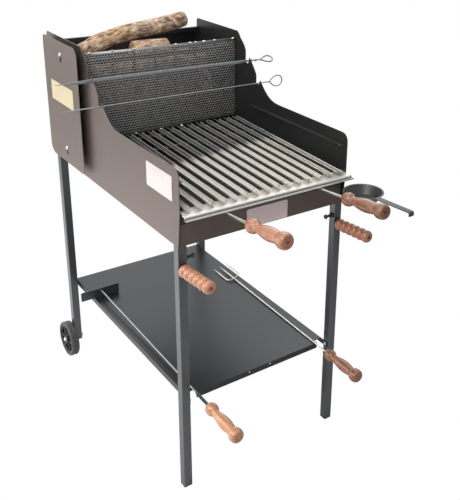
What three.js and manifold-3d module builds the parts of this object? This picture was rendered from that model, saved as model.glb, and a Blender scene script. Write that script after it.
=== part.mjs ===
// Charcoal and wood grill on a wheeled stand: firebox with a perforated ember screen, sloping channel grate,
// grease gutter and pan, skewers in notched side panels, ember rake and fork. Millimetres, z up.
// While it is built, x runs across from the middle, y from the front legs to the rear, z up from the floor.
import * as THREE from 'three';
import { mergeVertices } from 'three/addons/utils/BufferGeometryUtils.js';
import Module from 'manifold-3d';

const wasm = await Module();
wasm.setup();

// Gaps and facets
const SEAT = 0.3;
const RUNNING = 0.3;
const OVERRUN = 4;
const BITE = 1;
const MERGE = 1e-4;
const ROD_SIDES = 8;
const SMALL_SIDES = 6;
const WOOD_SIDES = 12;
const WHEEL_SIDES = 28;
const PAN_SIDES = 28;
const BEND_STEPS = 3;
const PLATE_STEPS = 8;
const LOOP_STEPS = 12;

// Body of sheet steel
const BODY_WIDTH = 540;
const BODY_DEPTH = 845;
const BODY_BOTTOM = 770;
const SHEET = 2;
const THIN_SHEET = 1.5;
const BEND_RADIUS = 5;
const RETURN_FLANGE = 16;
const FLOOR_FLANGE = 15;
const FRONT_PANEL_HEIGHT = 59;
const REAR_WALL_RISE = 380;
const REAR_WALL_INSET = 2;
const REAR_WALL_LIP = 12;
const REAR_WALL_FOLD = 16;

// Side panels, as seen from the side
const PANEL_LOW_RISE = 215;
const PANEL_HIGH_RISE = 410;
const PANEL_NOSE = 13;
const PANEL_NOSE_FOOT = 2;
const PANEL_NOSE_RISE = 100;
const PANEL_FRONT_RADIUS = 28;
const PANEL_REAR_RADIUS = 8;
const PANEL_CURVE_START = 330;
const PANEL_CREST = 575;
const CREST_DROP = 10;

// Two notches on each side panel: the lower one in front for a round skewer, the upper one for a flat one
const LOW_SPIKE_PLACE = 436;
const LOW_SPIKE_RISE = 271;
const LOW_NOTCH_RISE = 256;
const LOW_WALL_RISE = 284;
const HIGH_SPIKE_PLACE = 500;
const HIGH_SPIKE_RISE = 334;
const HIGH_NOTCH_RISE = 313;
const HIGH_WALL_RISE = 352;
const NOTCH_WIDTH = 23;
const NOTCH_SLANT = 7;

// Stand
const LEG = 25;
const LEG_WALL = 2;
const REAR_LEG_FRONT = 812;
const REAR_LEG_BOTTOM = 55;
const SOCKET_DEPTH = 80;
const PLUG_HEAD = 2;
const PLUG_DEPTH = 22;
const CLAMP_DROP = 41;
const CLAMP_BOLT = 8;
const CLAMP_NUT = 15;
const CLAMP_NUT_HEIGHT = 6;
const CLAMP_STICK_OUT = 21;

// Shelf
const SHELF_BOTTOM = 275;
const SHELF_LIP = 18;
const SHELF_FRONT = 20;
const SHELF_REAR = 830;
const SHELF_CORNER = 30;
const SHELF_EAR = 3;
const SHELF_HOLE = 5;
const SHELF_HOLE_SPREAD = 37;
const SHELF_SCREW = 6;
const SHELF_SCREW_HEAD = 11;
const SHELF_SCREW_HEAD_HEIGHT = 3.5;

// Wheels
const WHEEL_RADIUS = 62.5;
const WHEEL_WIDTH = 28;
const TYRE_DEPTH = 11;
const TYRE_ROUND = 4;
const RIM_DEPTH = 5;
const HUB_RADIUS = 13;
const HUB_END = 1.5;
const SPOKES = 5;
const SPOKE_WIDTH = 12;
const SPOKE_DEPTH = 14;
const AXLE = 8;
const AXLE_HEAD = 15;
const AXLE_HEAD_HEIGHT = 6;
const AXLE_REARWARD = 3;

// Ledges inside the side panels
const LEDGE = 18;
const LEDGE_REAR = 572;
const LEDGE_FRONT = 8;
const UPPER_LEDGE = 12;
const UPPER_LEDGE_RISE = 180;
const UPPER_LEDGE_REAR = 475;
const LEDGE_SCREW = 4;
const LEDGE_SCREW_HEAD = 8;
const LEDGE_SCREW_HEAD_HEIGHT = 2.2;
const LEDGE_SCREW_INSET = 20;

// Ember screen and wood basket
const SCREEN_FRONT = 583.7;
const SCREEN_RISE = 110;
const SCREEN_HEIGHT = 275;
const SCREEN_COLUMNS = 17;
const SCREEN_ROWS = 7;
const SCREEN_HOLE_SHARE = 0.3;
const RIB_WIDTH = 8;
const RIB_THICKNESS = 4;
const RIB_PITCH = 71;
const RIB_FIRST = 32;
const RAIL_INSET = 30;
const RAIL_THICKNESS = 4;
const RIBS = 8;
const BASKET_RISE = 167;
const BASKET_ROD = 8;
const BASKET_RODS = 13;
const BEARER_HEIGHT = 20;
const BEARER_THICKNESS = 5;
const BEARER_INSET = 30;

// Heat shield outside the left panel
const SHIELD_STAND_OFF = 20;
const SHIELD_FRONT = 553;
const SHIELD_REAR = 824;
const SHIELD_RISE = 19;
const SHIELD_HEIGHT = 387;
const SHIELD_CHAMFER = 20;
const SHIELD_RADIUS = 18;
const KEYHOLE_PLACE = 681;
const UPPER_KEYHOLE_DROP = 39;
const LOWER_KEYHOLE_RISE = 51;
const KEYHOLE_CLEARANCE = 1;
const KEYHOLE_DROP = 17;
const KEYHOLE_SLOT = 7;
const SHIELD_SCREW_NECK = 6;
const SHIELD_SCREW_HEAD = 12;
const SHIELD_SCREW_COLLAR = 11;
const SHIELD_SCREW_HEAD_HEIGHT = 5;

// Grate: channel bars on a front plate that folds down into a gutter, all on one slope
const GRATE_FRONT = -25;
const GRATE_RISE = 99;
const GRATE_SLOPE_DEGREES = 1.9;
const GRATE_LENGTH = 562;
const GRATE_BARS = 15;
const GRATE_PITCH = 34.6;
const GRATE_FIRST_BAR = 20;
const CHANNEL_WIDTH = 18;
const CHANNEL_DEPTH = 12;
const CHANNEL_FLAT = 4;
const CHANNEL_WALL = 1.5;
const PLATE_THICKNESS = 1.5;
const PLATE_SIDE_GAP = 4;
const PLATE_REAR = 30;
const PLATE_NOSE = 12;
const GUTTER_DROP = 11;
const GUTTER_WIDTH = 11;
const GUTTER_LIP = 6;
const GUTTER_BEND = 2.5;
const STRAP_WIDTH = 16;
const STRAP_PLACES = [440, 548];

// Turned wooden handles on rods
const HANDLE_LENGTH = 166;
const HANDLE_RADIUS = 21.5;
const HANDLE_BLIND_END = 14;
const HANDLE_ROD = 8;
const GRATE_HANDLE_SPREAD = 152;
const GRATE_HANDLE_RISE_DEGREES = 6.1;
const GRATE_HANDLE_FRONT = 310;
const GRATE_ROD_REAR = 20;
const HANDLE_PROFILE_SHARES = [
    [0, 0.4], [0.02, 0.62], [0.07, 0.86], [0.12, 0.9], [0.17, 0.82], [0.22, 0.6], [0.27, 0.56], [0.38, 0.7],
    [0.52, 0.83], [0.64, 0.82], [0.76, 0.7], [0.81, 0.72], [0.85, 0.93], [0.91, 1], [0.97, 0.94], [1, 0.78],
];

// Beaded push handles on the front legs
const PUSH_HANDLE_DROP = 67;
const PUSH_HANDLE_RISE_DEGREES = 4.5;
const PUSH_HANDLE_LENGTH = 142;
const BEAD_RADIUS = 18;
const BEAD_NECK_SHARE = 0.68;
const BEAD_SHOULDER_SHARE = 0.93;
const BEADS = 6;
const PUSH_SCREW = 6;
const PUSH_SCREW_HEAD = 9;
const PUSH_SCREW_SUNK = 12;

// Grease pan on its tongue
const PAN_RADIUS = 60;
const PAN_BASE_RADIUS = 44;
const PAN_DEPTH = 28;
const PAN_WALL = 1.5;
const PAN_LIP = 3;
const PAN_RIM_RISE = 62;
const PAN_FORWARD = 84.5;
const PAN_OUTWARD = 6;
const PAN_HANDLE_LENGTH = 128;
const PAN_HANDLE_WIDTH = 20;
const PAN_HANDLE_THICKNESS = 3;
const PAN_HANDLE_RISE_DEGREES = 1.5;
const PAN_HANDLE_TURN_DEGREES = 3;
const PAN_HOOK = 12;
const PAN_HANDLE_BEND = 5;
const TONGUE_THICKNESS = 2.5;
const TONGUE_WIDTH = 22;
const TONGUE_REACH = 125;
const TONGUE_FLANGE = 26;
const TONGUE_FLANGE_FRONT = 6;
const TONGUE_FLANGE_REAR = 62;

// Skewers
const SKEWER_REACH = 370;
const FLAT_SKEWER_TIP = 371;
const FLAT_SKEWER_HEIGHT = 11;
const FLAT_SKEWER_THICKNESS = 3;
const FLAT_SKEWER_POINT = 95;
const FLAT_SKEWER_BLADE_END = 276;
const FLAT_SKEWER_SHANK = 322;
const FLAT_SKEWER_WIRE = 5;
const FLAT_LOOP_WIDTH = 26;
const FLAT_LOOP_TILT_DEGREES = 38;
const FLAT_LOOP_SHARES = [[0, 0], [0.12, 0.12], [0.35, 0.36], [0.68, 0.5], [0.93, 0.3], [1, 0]];
const ROUND_SKEWER_TIP = 383;
const ROUND_SKEWER = 4;
const ROUND_SKEWER_POINT = 45;
const ROUND_SKEWER_SHANK = 316;
const ROUND_SKEWER_REACH = 366;
const ROUND_LOOP_WIDTH = 36;
const ROUND_LOOP_SHARES = [[0, 0], [0.1, 0.16], [0.32, 0.4], [0.6, 0.5], [0.88, 0.36], [1, 0]];

// Ember rake on the shelf
const RAKE_X = -219;
const RAKE_BLADE_LEFT = -290;
const RAKE_BLADE_RIGHT = -157;
const RAKE_BLADE_HEIGHT = 32;
const RAKE_BLADE_THICKNESS = 3;
const RAKE_BLADE_Y = 663;
const RAKE_ROD = 5;
const RAKE_ROD_UP = 22;
const RAKE_SLEEVE = 9;
const RAKE_SLEEVE_LENGTH = 52;
const RAKE_HANDLE_START = 56;

// Fork on the shelf
const FORK_X = 206;
const FORK_REAR_X = 214;
const FORK_ROD = 5;
const FORK_HANDLE_START = 42;
const FORK_JOINT_Y = 505;
const FORK_PRONG = 106;
const FORK_SPREAD = 25;
const FORK_SHOULDER = 9;
const FORK_ROLL_DEGREES = 15;
const FORK_LEVEL = 5.6;
const TOOL_HANDLE_SCALE_SHARE = 0.92;

// Firewood: radii and lengths of the logs, with the two upper ones cut short
const LOG_BOTTOM_RADIUS = 58;
const LOG_REAR_RADIUS = 42;
const LOG_FRONT_RADIUS = 38;
const LOG_SECOND_RADIUS = 32;
const LOG_LEANING_RADIUS = 28;
const LOG_LENGTH = 440;
const LOG_SHIFT = -30;
const LOG_FRONT_LENGTH = 400;
const LOG_SECOND_LENGTH = 120;
const LOG_SECOND_END = 64;
const LOG_LEANING_LENGTH = 400;
const LOG_LEANING_X = -38;
const LOG_LEANING_BACK = 27;
const LOG_LEANING_BEND = 18;
const LOG_LEANING_RISE_DEGREES = 10.5;
const LOG_LEANING_TURN_DEGREES = 7.5;
const LOG_SIDES = 10;
const LOG_RINGS = 6;
const LOG_LUMP_SHARE = 0.05;
const BEND_NORM_SHARE = 27 / 4;
const LOG_DROPS = 12;
const LOG_LIFT = 20;

// Places worked out from the sizes above
const HALF = BODY_WIDTH / 2;
const INSIDE = HALF - SHEET;
const PANEL_LOW_TOP = BODY_BOTTOM + PANEL_LOW_RISE;
const PANEL_HIGH_TOP = BODY_BOTTOM + PANEL_HIGH_RISE;
const REAR_WALL_TOP = BODY_BOTTOM + REAR_WALL_RISE;
const GRATE_HEIGHT = BODY_BOTTOM + GRATE_RISE;
const UPPER_LEDGE_TOP = BODY_BOTTOM + UPPER_LEDGE_RISE;
const SCREEN_BOTTOM = BODY_BOTTOM + SCREEN_RISE;
const SCREEN_TOP = SCREEN_BOTTOM + SCREEN_HEIGHT;
const BASKET_TOP = BODY_BOTTOM + BASKET_RISE;
const SHIELD_BOTTOM = BODY_BOTTOM + SHIELD_RISE;
const SHIELD_TOP = SHIELD_BOTTOM + SHIELD_HEIGHT;
const PAN_RIM_HEIGHT = BODY_BOTTOM + PAN_RIM_RISE;
const CLAMP_HEIGHT = BODY_BOTTOM - CLAMP_DROP;
const PUSH_HANDLE_HEIGHT = BODY_BOTTOM - PUSH_HANDLE_DROP;
const KEYHOLE_HEIGHTS = [SHIELD_TOP - UPPER_KEYHOLE_DROP, SHIELD_BOTTOM + LOWER_KEYHOLE_RISE];
const LOW_NOTCH = {
    spike: LOW_SPIKE_PLACE,
    spikeTop: BODY_BOTTOM + LOW_SPIKE_RISE,
    floor: BODY_BOTTOM + LOW_NOTCH_RISE,
    wall: BODY_BOTTOM + LOW_WALL_RISE,
};
const HIGH_NOTCH = {
    spike: HIGH_SPIKE_PLACE,
    spikeTop: BODY_BOTTOM + HIGH_SPIKE_RISE,
    floor: BODY_BOTTOM + HIGH_NOTCH_RISE,
    wall: BODY_BOTTOM + HIGH_WALL_RISE,
};
const FILLED = INSIDE - SEAT;
const LEG_MIDDLE = HALF - LEG / 2;
const LEG_TOP = BODY_BOTTOM - SEAT;
const REAR_LEG_MIDDLE = REAR_LEG_FRONT + LEG / 2;
const REAR_WALL_BACK = BODY_DEPTH - REAR_WALL_INSET;
const REAR_WALL_FRONT = REAR_WALL_BACK - THIN_SHEET;
const SCREEN_BACK = SCREEN_FRONT + THIN_SHEET;
const RIB_BACK = SCREEN_BACK + SEAT + RIB_THICKNESS;
const RAIL_BACK = RIB_BACK + RAIL_THICKNESS;
const SHELF_TOP = SHELF_BOTTOM + SHELF_LIP;
const AXLE_Y = REAR_LEG_MIDDLE + AXLE_REARWARD;
const GRATE_SLOPE = THREE.MathUtils.degToRad(GRATE_SLOPE_DEGREES);
const TAU = Math.PI * 2;

const X = new THREE.Vector3(1, 0, 0);
const Y = new THREE.Vector3(0, 1, 0);
const Z = new THREE.Vector3(0, 0, 1);
const at = (x, y, z) => new THREE.Vector3(x, y, z);
const flat = (x, y) => new THREE.Vector2(x, y);
const radians = THREE.MathUtils.degToRad;

const grill = new THREE.Group();

// Finishes of the real surfaces
const FINISHES = {
    paint: { color: 0x4a4441, roughness: 0.6, metalness: 0.35 },
    frame: { color: 0x3d4347, roughness: 0.5, metalness: 0.35 },
    screen: { color: 0x55585a, roughness: 0.55, metalness: 0.6 },
    steel: { color: 0xb5b1a6, roughness: 0.32, metalness: 0.9 },
    darkSteel: { color: 0x4f5659, roughness: 0.45, metalness: 0.8 },
    zinc: { color: 0xa8abad, roughness: 0.35, metalness: 0.9 },
    iron: { color: 0x1b1d1e, roughness: 0.6, metalness: 0.4 },
    wood: { color: 0xc4814f, roughness: 0.38, metalness: 0 },
    rubber: { color: 0x4b4f50, roughness: 0.8, metalness: 0 },
    plastic: { color: 0x17181a, roughness: 0.55, metalness: 0 },
    bark: { color: 0x8a6a4c, roughness: 0.9, metalness: 0 },
};

function add(name, geometry, finish) {
    const mesh = new THREE.Mesh(geometry, new THREE.MeshStandardMaterial(FINISHES[finish]));
    mesh.name = name;
    grill.add(mesh);
    return mesh;
}

// Six times the volume that a triangle mesh encloses, negative when its faces point inwards
function signedVolume(geometry) {
    const position = geometry.attributes.position;
    const [a, b, c] = [at(0, 0, 0), at(0, 0, 0), at(0, 0, 0)];
    let volume = 0;
    for (let i = 0; i < geometry.index.count; i += 3) {
        a.fromBufferAttribute(position, geometry.index.getX(i));
        b.fromBufferAttribute(position, geometry.index.getX(i + 1));
        c.fromBufferAttribute(position, geometry.index.getX(i + 2));
        volume += a.dot(b.cross(c));
    }
    return volume;
}

// Shares the vertices of a geometry, drops triangles without area at its poles and turns its faces outwards
function closed(geometry) {
    const bare = geometry.clone();
    bare.deleteAttribute('normal');
    bare.deleteAttribute('uv');
    const merged = mergeVertices(bare, MERGE);
    const kept = [];
    for (let i = 0; i < merged.index.count; i += 3) {
        const corners = [0, 1, 2].map((k) => merged.index.getX(i + k));
        if (new Set(corners).size === corners.length) kept.push(...corners);
    }
    merged.setIndex(kept);
    if (signedVolume(merged) < 0) merged.setIndex(kept.reverse());
    return merged;
}

function toSolid(geometry) {
    const shell = closed(geometry);
    return new wasm.Manifold(new wasm.Mesh({
        numProp: 3,
        vertProperties: shell.attributes.position.array,
        triVerts: new Uint32Array(shell.index.array),
    }));
}

function toGeometry(solid) {
    const mesh = solid.getMesh();
    const geometry = new THREE.BufferGeometry();
    geometry.setAttribute('position', new THREE.BufferAttribute(new Float32Array(mesh.vertProperties), 3));
    geometry.setIndex(new THREE.BufferAttribute(new Uint32Array(mesh.triVerts), 1));
    return geometry;
}

const cut = (geometry, ...tools) => toGeometry(
    tools.reduce((solid, tool) => solid.subtract(toSolid(tool)), toSolid(geometry)),
);
const join = (first, ...rest) => toGeometry(
    rest.reduce((solid, piece) => solid.add(toSolid(piece)), toSolid(first)),
);

// Box between two corners
function box(low, high) {
    const size = high.clone().sub(low);
    const middle = high.clone().add(low).multiplyScalar(0.5);
    return new THREE.BoxGeometry(size.x, size.y, size.z).translate(middle.x, middle.y, middle.z);
}

// Puts a piece that was made along +Y at a place, pointing along a direction
function aim(geometry, from, direction) {
    const turn = new THREE.Quaternion().setFromUnitVectors(Y, direction.clone().normalize());
    return geometry.applyQuaternion(turn).translate(from.x, from.y, from.z);
}

// Round bar between two points
function rod(from, to, radius, sides = ROD_SIDES) {
    const way = to.clone().sub(from);
    const length = way.length();
    const bar = new THREE.CylinderGeometry(radius, radius, length, sides);
    return aim(bar.translate(0, length / 2, 0), from, way);
}

// Turned piece: pairs of place along the axis and radius, closed on the axis or on itself
function turned(pairs, sides, from, direction) {
    const profile = pairs.map(([along, radius]) => flat(radius, along));
    return aim(closed(new THREE.LatheGeometry(profile, sides)), from, direction);
}

// Plate cut from an outline in the plane of y and z, its thickness along +x from the given place
function uprightPlate(shape, thickness, x) {
    const options = { depth: thickness, bevelEnabled: false, curveSegments: PLATE_STEPS };
    const plate = new THREE.ExtrudeGeometry(shape, options);
    return plate.applyMatrix4(new THREE.Matrix4().makeBasis(Y, Z, X)).translate(x, 0, 0);
}

// Replaces the inner corners of a path by arcs
function filleted(path, radius) {
    return path.flatMap((corner, i) => {
        if (i === 0 || i === path.length - 1) return [corner];
        const before = path[i - 1].clone().sub(corner).normalize();
        const after = path[i + 1].clone().sub(corner).normalize();
        const half = Math.acos(THREE.MathUtils.clamp(before.dot(after), -1, 1)) / 2;
        const start = corner.clone().addScaledVector(before, radius / Math.tan(half));
        const end = corner.clone().addScaledVector(after, radius / Math.tan(half));
        const curve = new THREE.QuadraticBezierCurve(start, corner, end);
        return curve.getPoints(BEND_STEPS);
    });
}

// Outline of a folded sheet: the path of its outer face, and the same path moved to its left by the thickness
function folded(path, thickness) {
    const sides = path.slice(1).map((p, i) => flat(path[i].y - p.y, p.x - path[i].x).normalize());
    const inner = path.map((p, i) => {
        const before = sides[Math.max(i - 1, 0)];
        const after = sides[Math.min(i, sides.length - 1)];
        return p.clone().addScaledVector(before.clone().add(after), thickness / (1 + before.dot(after)));
    });
    return new THREE.Shape([...path, ...inner.reverse()]);
}

// Folded sheet with its section in the plane of x and y, standing from one height to another
function standingSheet(path, thickness, bottom, top) {
    const sheet = new THREE.ExtrudeGeometry(folded(path, thickness), { depth: top - bottom, bevelEnabled: false });
    return sheet.translate(0, 0, bottom);
}

// Folded sheet with its section in the plane of y and z, lying across from one x to another
const lyingSheet = (path, thickness, left, right) => uprightPlate(folded(path, thickness), right - left, left);

// Folded sheet with its section in the plane of x and z, running from one y back to another
function runningSheet(path, thickness, front, rear) {
    const sheet = new THREE.ExtrudeGeometry(folded(path, thickness), { depth: rear - front, bevelEnabled: false });
    return sheet.rotateX(Math.PI / 2).translate(0, rear, 0);
}

// Wire along a curve
function wire(curve, thickness, sides, steps) {
    const outline = new THREE.EllipseCurve(0, 0, thickness / 2, thickness / 2).getPoints(sides).slice(0, sides);
    return new THREE.ExtrudeGeometry(new THREE.Shape(outline), { steps, extrudePath: curve, bevelEnabled: false });
}

const drill = (face, direction, diameter, depth) => rod(
    face.clone().addScaledVector(direction, OVERRUN),
    face.clone().addScaledVector(direction, -depth),
    diameter / 2,
    SMALL_SIDES,
);

// Side panels

// Notch behind a spike, then the wall behind the notch
function traceNotch(shape, notch) {
    shape.lineTo(notch.spike + NOTCH_SLANT, notch.floor);
    shape.lineTo(notch.spike + NOTCH_WIDTH, notch.floor);
    shape.lineTo(notch.spike + NOTCH_WIDTH, notch.wall);
}

function panelShape() {
    const curveRise = LOW_NOTCH.spikeTop - PANEL_LOW_TOP;
    const waveStart = LOW_NOTCH.spike + NOTCH_WIDTH;
    const crestStart = HIGH_NOTCH.spike + NOTCH_WIDTH;
    const shape = new THREE.Shape();
    shape.moveTo(-PANEL_NOSE_FOOT, BODY_BOTTOM);
    shape.lineTo(BODY_DEPTH, BODY_BOTTOM);
    shape.lineTo(BODY_DEPTH, PANEL_HIGH_TOP - PANEL_REAR_RADIUS);
    shape.lineTo(BODY_DEPTH - PANEL_REAR_RADIUS, PANEL_HIGH_TOP);
    shape.lineTo(PANEL_CREST, PANEL_HIGH_TOP);
    shape.quadraticCurveTo(PANEL_CREST - CREST_DROP, PANEL_HIGH_TOP - CREST_DROP / 2,
        PANEL_CREST - 2 * CREST_DROP, PANEL_HIGH_TOP - 2 * CREST_DROP);
    shape.quadraticCurveTo(crestStart + CREST_DROP / 2, PANEL_HIGH_TOP - 4 * CREST_DROP, crestStart, HIGH_NOTCH.wall);
    shape.lineTo(HIGH_NOTCH.spike + NOTCH_WIDTH, HIGH_NOTCH.floor);
    shape.lineTo(HIGH_NOTCH.spike + NOTCH_SLANT, HIGH_NOTCH.floor);
    shape.lineTo(HIGH_NOTCH.spike, HIGH_NOTCH.spikeTop);
    shape.quadraticCurveTo(waveStart + CREST_DROP, LOW_NOTCH.wall + 2 * CREST_DROP, waveStart, LOW_NOTCH.wall);
    shape.lineTo(LOW_NOTCH.spike + NOTCH_WIDTH, LOW_NOTCH.floor);
    shape.lineTo(LOW_NOTCH.spike + NOTCH_SLANT, LOW_NOTCH.floor);
    shape.lineTo(LOW_NOTCH.spike, LOW_NOTCH.spikeTop);
    shape.bezierCurveTo(LOW_NOTCH.spike - curveRise / 2, LOW_NOTCH.spikeTop - curveRise / 2,
        PANEL_CURVE_START + curveRise, PANEL_LOW_TOP, PANEL_CURVE_START, PANEL_LOW_TOP);
    shape.lineTo(PANEL_FRONT_RADIUS - PANEL_NOSE, PANEL_LOW_TOP);
    shape.quadraticCurveTo(-PANEL_NOSE, PANEL_LOW_TOP, -PANEL_NOSE, PANEL_LOW_TOP - PANEL_FRONT_RADIUS);
    shape.lineTo(-PANEL_NOSE, BODY_BOTTOM + PANEL_NOSE_RISE);
    return shape;
}

// Place of the screw that holds an upper ledge, on a face of the side panel
const ledgeScrewPlace = (x) => at(x, LEDGE_SCREW_INSET, UPPER_LEDGE_TOP - UPPER_LEDGE / 2);

// Height of the ledge that the grate slides on
function ledgeTop(y) {
    const rise = (y - GRATE_FRONT) * Math.tan(GRATE_SLOPE);
    return GRATE_HEIGHT + rise - (PLATE_THICKNESS + SEAT) / Math.cos(GRATE_SLOPE);
}

function addSidePanels() {
    for (const [name, side] of [['left', -1], ['right', 1]]) {
        const outer = side * HALF;
        const plate = uprightPlate(panelShape(), SHEET, side < 0 ? outer : outer - SHEET);
        const hole = drill(ledgeScrewPlace(outer), at(side, 0, 0), LEDGE_SCREW, SHEET + OVERRUN);
        add(`side_panel_${name}`, cut(plate, hole), 'paint');
    }
}

// Floor with the sockets that the legs slide over, front panel and rear wall

function addFloor() {
    const front = THIN_SHEET + SEAT;
    const rear = REAR_WALL_FRONT - SEAT;
    const flangeTop = BODY_BOTTOM + FLOOR_FLANGE;
    const path = [flat(front, flangeTop), flat(front, BODY_BOTTOM), flat(rear, BODY_BOTTOM), flat(rear, flangeTop)];
    const sheet = lyingSheet(filleted(path, BEND_RADIUS / 2), THIN_SHEET, -FILLED, FILLED);
    const returns = [[-OVERRUN, RETURN_FLANGE + SEAT], [REAR_WALL_BACK - RETURN_FLANGE - SEAT, BODY_DEPTH]];
    const corners = [-1, 1].flatMap((side) => returns.map(([low, high]) => box(
        at(side < 0 ? -HALF : FILLED - BEND_RADIUS - SEAT, low, BODY_BOTTOM - SEAT),
        at(side < 0 ? BEND_RADIUS + SEAT - FILLED : HALF, high, flangeTop + OVERRUN),
    )));
    const socket = LEG - 2 * LEG_WALL - 2 * SEAT;
    const socketBottom = LEG_TOP - SOCKET_DEPTH;
    const sockets = [-1, 1].flatMap((side) => [LEG / 2, REAR_LEG_MIDDLE]
        .map((y) => squareTube(side * LEG_MIDDLE, y, socket, LEG_WALL, socketBottom, BODY_BOTTOM + BITE)));
    add('ash_floor', cut(join(sheet, ...sockets), ...corners), 'paint');
}

function addFrontPanel() {
    const path = [flat(-FILLED, RETURN_FLANGE), flat(-FILLED, 0), flat(FILLED, 0), flat(FILLED, RETURN_FLANGE)];
    const top = BODY_BOTTOM + FRONT_PANEL_HEIGHT;
    add('front_panel', standingSheet(filleted(path, BEND_RADIUS), THIN_SHEET, BODY_BOTTOM, top), 'paint');
}

function addRearWall() {
    const front = REAR_WALL_BACK - RETURN_FLANGE;
    const back = REAR_WALL_BACK;
    const path = [flat(FILLED, front), flat(FILLED, back), flat(-FILLED, back), flat(-FILLED, front)];
    const sheet = standingSheet(filleted(path, BEND_RADIUS), THIN_SHEET, BODY_BOTTOM, REAR_WALL_TOP);
    const side = FILLED - BEND_RADIUS;
    const lip = back - REAR_WALL_LIP;
    const flange = box(at(-side, lip, REAR_WALL_TOP - THIN_SHEET), at(side, back, REAR_WALL_TOP));
    const fold = box(at(-side, lip, REAR_WALL_TOP - REAR_WALL_FOLD), at(side, lip + THIN_SHEET, REAR_WALL_TOP));
    add('rear_wall', join(sheet, flange, fold), 'paint');
}

// Ledges that carry the grate low and high

// Angle iron along a side panel: a flange on the panel and one that points inwards at the top
function ledge(side, size, front, rear, top) {
    const path = [flat(FILLED - size, 0), flat(FILLED, 0), flat(FILLED, -size)];
    const points = side > 0 ? path : path.map((p) => flat(-p.x, p.y)).reverse();
    return runningSheet(points.reverse(), THIN_SHEET, front, rear).translate(0, 0, top);
}

function addLedges() {
    const slope = Math.tan(GRATE_SLOPE);
    for (const [name, side] of [['left', -1], ['right', 1]]) {
        const inner = ledgeScrewPlace(side * (FILLED - THIN_SHEET));
        const hole = drill(inner, at(-side, 0, 0), LEDGE_SCREW, THIN_SHEET + OVERRUN);
        const lower = ledge(side, LEDGE, -LEDGE_FRONT, LEDGE_REAR, 0);
        lower.applyMatrix4(new THREE.Matrix4().makeShear(0, 0, 0, slope, 0, 0)).translate(0, 0, ledgeTop(0));
        add(`grate_ledge_${name}`, lower, 'paint');
        const upper = ledge(side, UPPER_LEDGE, -LEDGE_FRONT, UPPER_LEDGE_REAR, UPPER_LEDGE_TOP);
        add(`upper_ledge_${name}`, cut(upper, hole), 'paint');
        const head = LEDGE_SCREW_HEAD / 2;
        const shank = LEDGE_SCREW / 2 - SEAT;
        add(`ledge_screw_${name}`, turned([
            [-THIN_SHEET - SHEET, 0], [-THIN_SHEET - SHEET, shank], [SEAT, shank], [SEAT, head],
            [LEDGE_SCREW_HEAD_HEIGHT, head / 2], [LEDGE_SCREW_HEAD_HEIGHT, 0],
        ], SMALL_SIDES, inner, at(-side, 0, 0)), 'zinc');
    }
}

// Ember screen and the basket behind it

// Sheet with staggered six-sided holes inside a plain border
function addScreen() {
    const height = SCREEN_TOP - SCREEN_BOTTOM;
    const pitch = 2 * FILLED / (SCREEN_COLUMNS + 1);
    const rise = height / (SCREEN_ROWS + 1);
    const shape = new THREE.Shape([flat(-FILLED, 0), flat(FILLED, 0), flat(FILLED, height), flat(-FILLED, height)]);
    for (let row = 1; row <= SCREEN_ROWS; row += 1) {
        const stagger = (row % 2) / 2;
        for (let column = 1; column <= SCREEN_COLUMNS - row % 2; column += 1) {
            const hole = new THREE.Path();
            hole.absarc((column + stagger) * pitch - FILLED, row * rise, pitch * SCREEN_HOLE_SHARE, 0, TAU, true);
            shape.holes.push(hole);
        }
    }
    const options = { depth: THIN_SHEET, bevelEnabled: false, curveSegments: SMALL_SIDES / 2 };
    const sheet = new THREE.ExtrudeGeometry(shape, options);
    add('fire_screen', sheet.rotateX(Math.PI / 2).translate(0, SCREEN_BACK, SCREEN_BOTTOM), 'screen');
    const ribs = Array.from({ length: RIBS }, (_, i) => {
        const left = RIB_FIRST + i * RIB_PITCH - HALF - RIB_WIDTH / 2;
        return box(at(left, SCREEN_BACK + SEAT, SCREEN_BOTTOM), at(left + RIB_WIDTH, RIB_BACK, SCREEN_TOP));
    });
    const rails = [SCREEN_BOTTOM + RAIL_INSET, SCREEN_TOP - RAIL_INSET].map((z) => box(
        at(-FILLED, RIB_BACK - BITE, z - RIB_WIDTH),
        at(FILLED, RAIL_BACK, z + RIB_WIDTH),
    ));
    add('screen_frame', join(...ribs, ...rails), 'paint');
}

function addBasket() {
    const front = RAIL_BACK + SEAT;
    const rear = REAR_WALL_FRONT - SEAT;
    const bearerTop = BASKET_TOP - BASKET_ROD + BITE;
    const pitch = 2 * FILLED / BASKET_RODS;
    const rods = Array.from({ length: BASKET_RODS }, (_, i) => {
        const x = (i + 1 / 2) * pitch - FILLED;
        const height = BASKET_TOP - BASKET_ROD / 2;
        return rod(at(x, front, height), at(x, rear, height), BASKET_ROD / 2, SMALL_SIDES);
    });
    const bearers = [front + BEARER_INSET, rear - BEARER_INSET].map((y) => box(
        at(-FILLED, y - BEARER_THICKNESS / 2, bearerTop - BEARER_HEIGHT),
        at(FILLED, y + BEARER_THICKNESS / 2, bearerTop),
    ));
    return add('basket_floor', join(...bearers, ...rods), 'paint');
}

// Heat shield on two shouldered screws

function keyhole(height) {
    const hole = new THREE.Path();
    const head = SHIELD_SCREW_HEAD / 2 + KEYHOLE_CLEARANCE;
    const slot = KEYHOLE_SLOT / 2;
    const shoulder = Math.asin(slot / head);
    const top = Math.PI / 2;
    hole.absarc(KEYHOLE_PLACE, height - KEYHOLE_DROP, head, top + shoulder, top + TAU - shoulder, false);
    hole.absarc(KEYHOLE_PLACE, height, slot, 0, Math.PI, false);
    return hole;
}

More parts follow.
